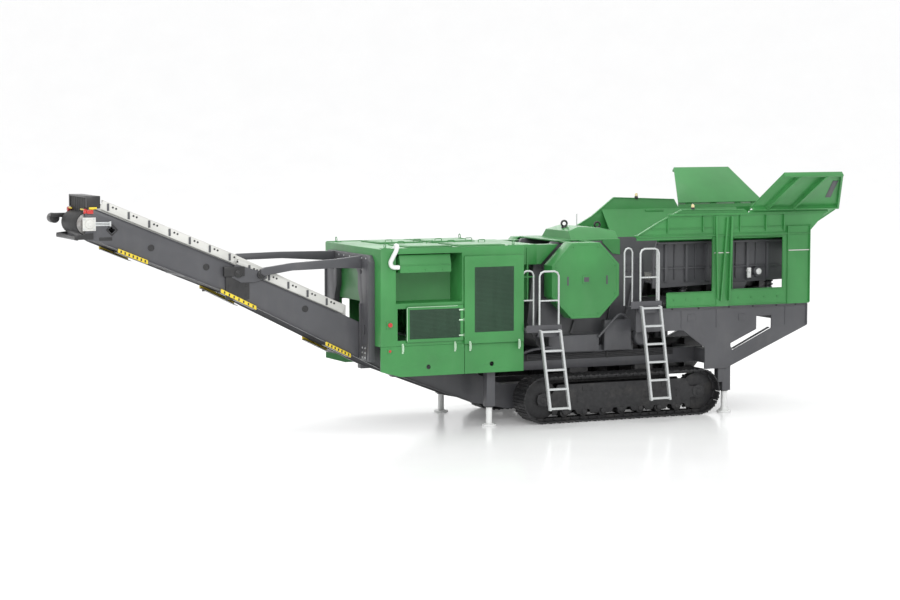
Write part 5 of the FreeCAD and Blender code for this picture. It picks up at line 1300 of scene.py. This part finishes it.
tread = Work()
tread.plate([(-0.5, -0.0015, 0.0), (0.5, -0.0015, 0.0), (0.5, 0.0015, 0.0), (-0.5, 0.0015, 0.0)],
            (0, 0, 0.006))
tread = pattern("tread_rib", tread)
spots = []
for x, top_z, bottom_z, rungs in ((1.335, 1.83, 0.34, 5), (3.525, 2.21, 0.42, 6)):
    for i in range(rungs):
        t = 0.02 + 0.96 * i / (rungs - 1)
        y = -1.52 - 0.035 - 0.40 * t
        z = top_z + (bottom_z - top_z) * t + 0.0148
        for k in range(5):
            spots.append(((x, y - 0.030 + 0.015 * k, z), (0, 0, 1), (1, 0, 0)))
set_out("ladder_treads", spots, tread, galvanised, size=(0.37, 1, 1), far_side=True)
spots = []
for x0, x1, y0, y1, z in ((0.86, 1.58, -1.50, -0.92, 1.830), (3.12, 3.77, -1.50, -1.35, 2.210)):
    for i in range(int((x1 - x0) / 0.034)):
        spots.append(((x0 + 0.017 + 0.034 * i, (y0 + y1) / 2, z - 0.0005), (0, 0, 1), (0, 1, 0)))
near_bars = [s for s in spots if s[0][2] < 2.0]
deep_bars = [s for s in spots if s[0][2] > 2.0]
set_out("grating_low", near_bars, tread, galvanised, size=(0.57, 1, 1.2), far_side=True)
set_out("grating_high", deep_bars, tread, galvanised, size=(0.14, 1, 1.2), far_side=True)
braces = Work(-1)
for x, z in ((1.335, 1.83), (3.525, 2.21)):
    for side in (-0.215, 0.215):
        braces.rod((x + side, -1.53, z - 0.10), (x + side, -1.405, z - 0.02), 0.012, 10)
braces.bar((1.085, -1.522, 1.700), (1.585, -1.50, 1.800))
braces.bar((3.275, -1.522, 2.080), (3.775, -1.50, 2.180))
braces.finished("ladder_brackets", dark_grey_enamel, edge=0.003)

# ---------------------------------------------------------------------------
# Studio: a pale, slightly glossy floor that sweeps up into a white wall, wide
# soft lamps overhead, and a long lens well back from the conveyor's side.
# ---------------------------------------------------------------------------
for part in patterns:
    bpy.data.objects.remove(part)
floor_finish = Finish("studio floor")
grain = floor_finish.cloud(0.6, 4.0)
floor_finish.colour(floor_finish.ramp(grain, [(0.3, (0.85, 0.851, 0.853)), (0.7, (0.87, 0.871, 0.872))]))
floor_finish.value("Roughness", grain, 0.16, 0.20)
floor_finish.relief([(floor_finish.cloud(40.0, 2.0), 0.01, 0.001)])
floor_finish.shader.inputs["Specular IOR Level"].default_value = 0.30
floor_finish.shader.inputs["Emission Color"].default_value = (1.0, 1.0, 1.0, 1.0)
floor_finish.shader.inputs["Emission Strength"].default_value = 0.12
mesh = bpy.data.meshes.new("studio_floor")
profile = [(-70.0, 0.0), (60.0, 0.0)]
for i in range(1, 13):
    a = math.radians(90 * i / 12)
    profile.append((60.0 + 25.0 * math.sin(a), 25.0 - 25.0 * math.cos(a)))
profile.append((85.0, 90.0))
corners = [(x, y, z) for y, z in profile for x in (-170.0, 170.0)]
mesh.from_pydata(corners, [], [(2 * i, 2 * i + 1, 2 * i + 3, 2 * i + 2) for i in range(len(profile) - 1)])
mesh.transform(Matrix.Translation((0, 0, -0.002)) @ Matrix.Rotation(math.radians(-24.5), 4, "Z"))
for polygon in mesh.polygons:
    polygon.use_smooth = True
mesh.materials.append(floor_finish.material)
floor = bpy.data.objects.new("studio_floor", mesh)
bpy.context.scene.collection.objects.link(floor)

world = bpy.data.worlds.new("studio air")
bpy.context.scene.world = world
world.use_nodes = True
world.node_tree.nodes["Background"].inputs["Color"].default_value = (1.0, 1.0, 1.0, 1.0)
world.node_tree.nodes["Background"].inputs["Strength"].default_value = 1.06


def soft_lamp(name, place, aim, size, power):
    lamp = bpy.data.lights.new(name, "AREA")
    lamp.shape = "RECTANGLE"
    lamp.size, lamp.size_y = size
    lamp.energy = power
    holder = bpy.data.objects.new(name, lamp)
    bpy.context.scene.collection.objects.link(holder)
    holder.location = place
    holder.rotation_euler = (Vector(aim) - Vector(place)).to_track_quat("-Z", "Y").to_euler()


soft_lamp("key_lamp", (-8, -19, 13), (0.5, 0, 2.0), (12, 8), 1500)
soft_lamp("top_lamp", (1, 2, 20), (0, 0, 1), (20, 10), 1200)
soft_lamp("back_lamp", (8, 22, 12), (0, 0, 2), (16, 8), 700)

view = bpy.data.cameras.new("camera")
view.lens = 92.0
view.sensor_width = 36.0
view.clip_end = 600
camera = bpy.data.objects.new("camera", view)
bpy.context.scene.collection.objects.link(camera)
camera.location = (-18.501, -40.517, 6.042)
camera.rotation_euler = Vector((0.4127, 0.9070, -0.0829)).to_track_quat("-Z", "Y").to_euler()
bpy.context.scene.camera = camera
bpy.context.scene.view_settings.view_transform = "Standard"
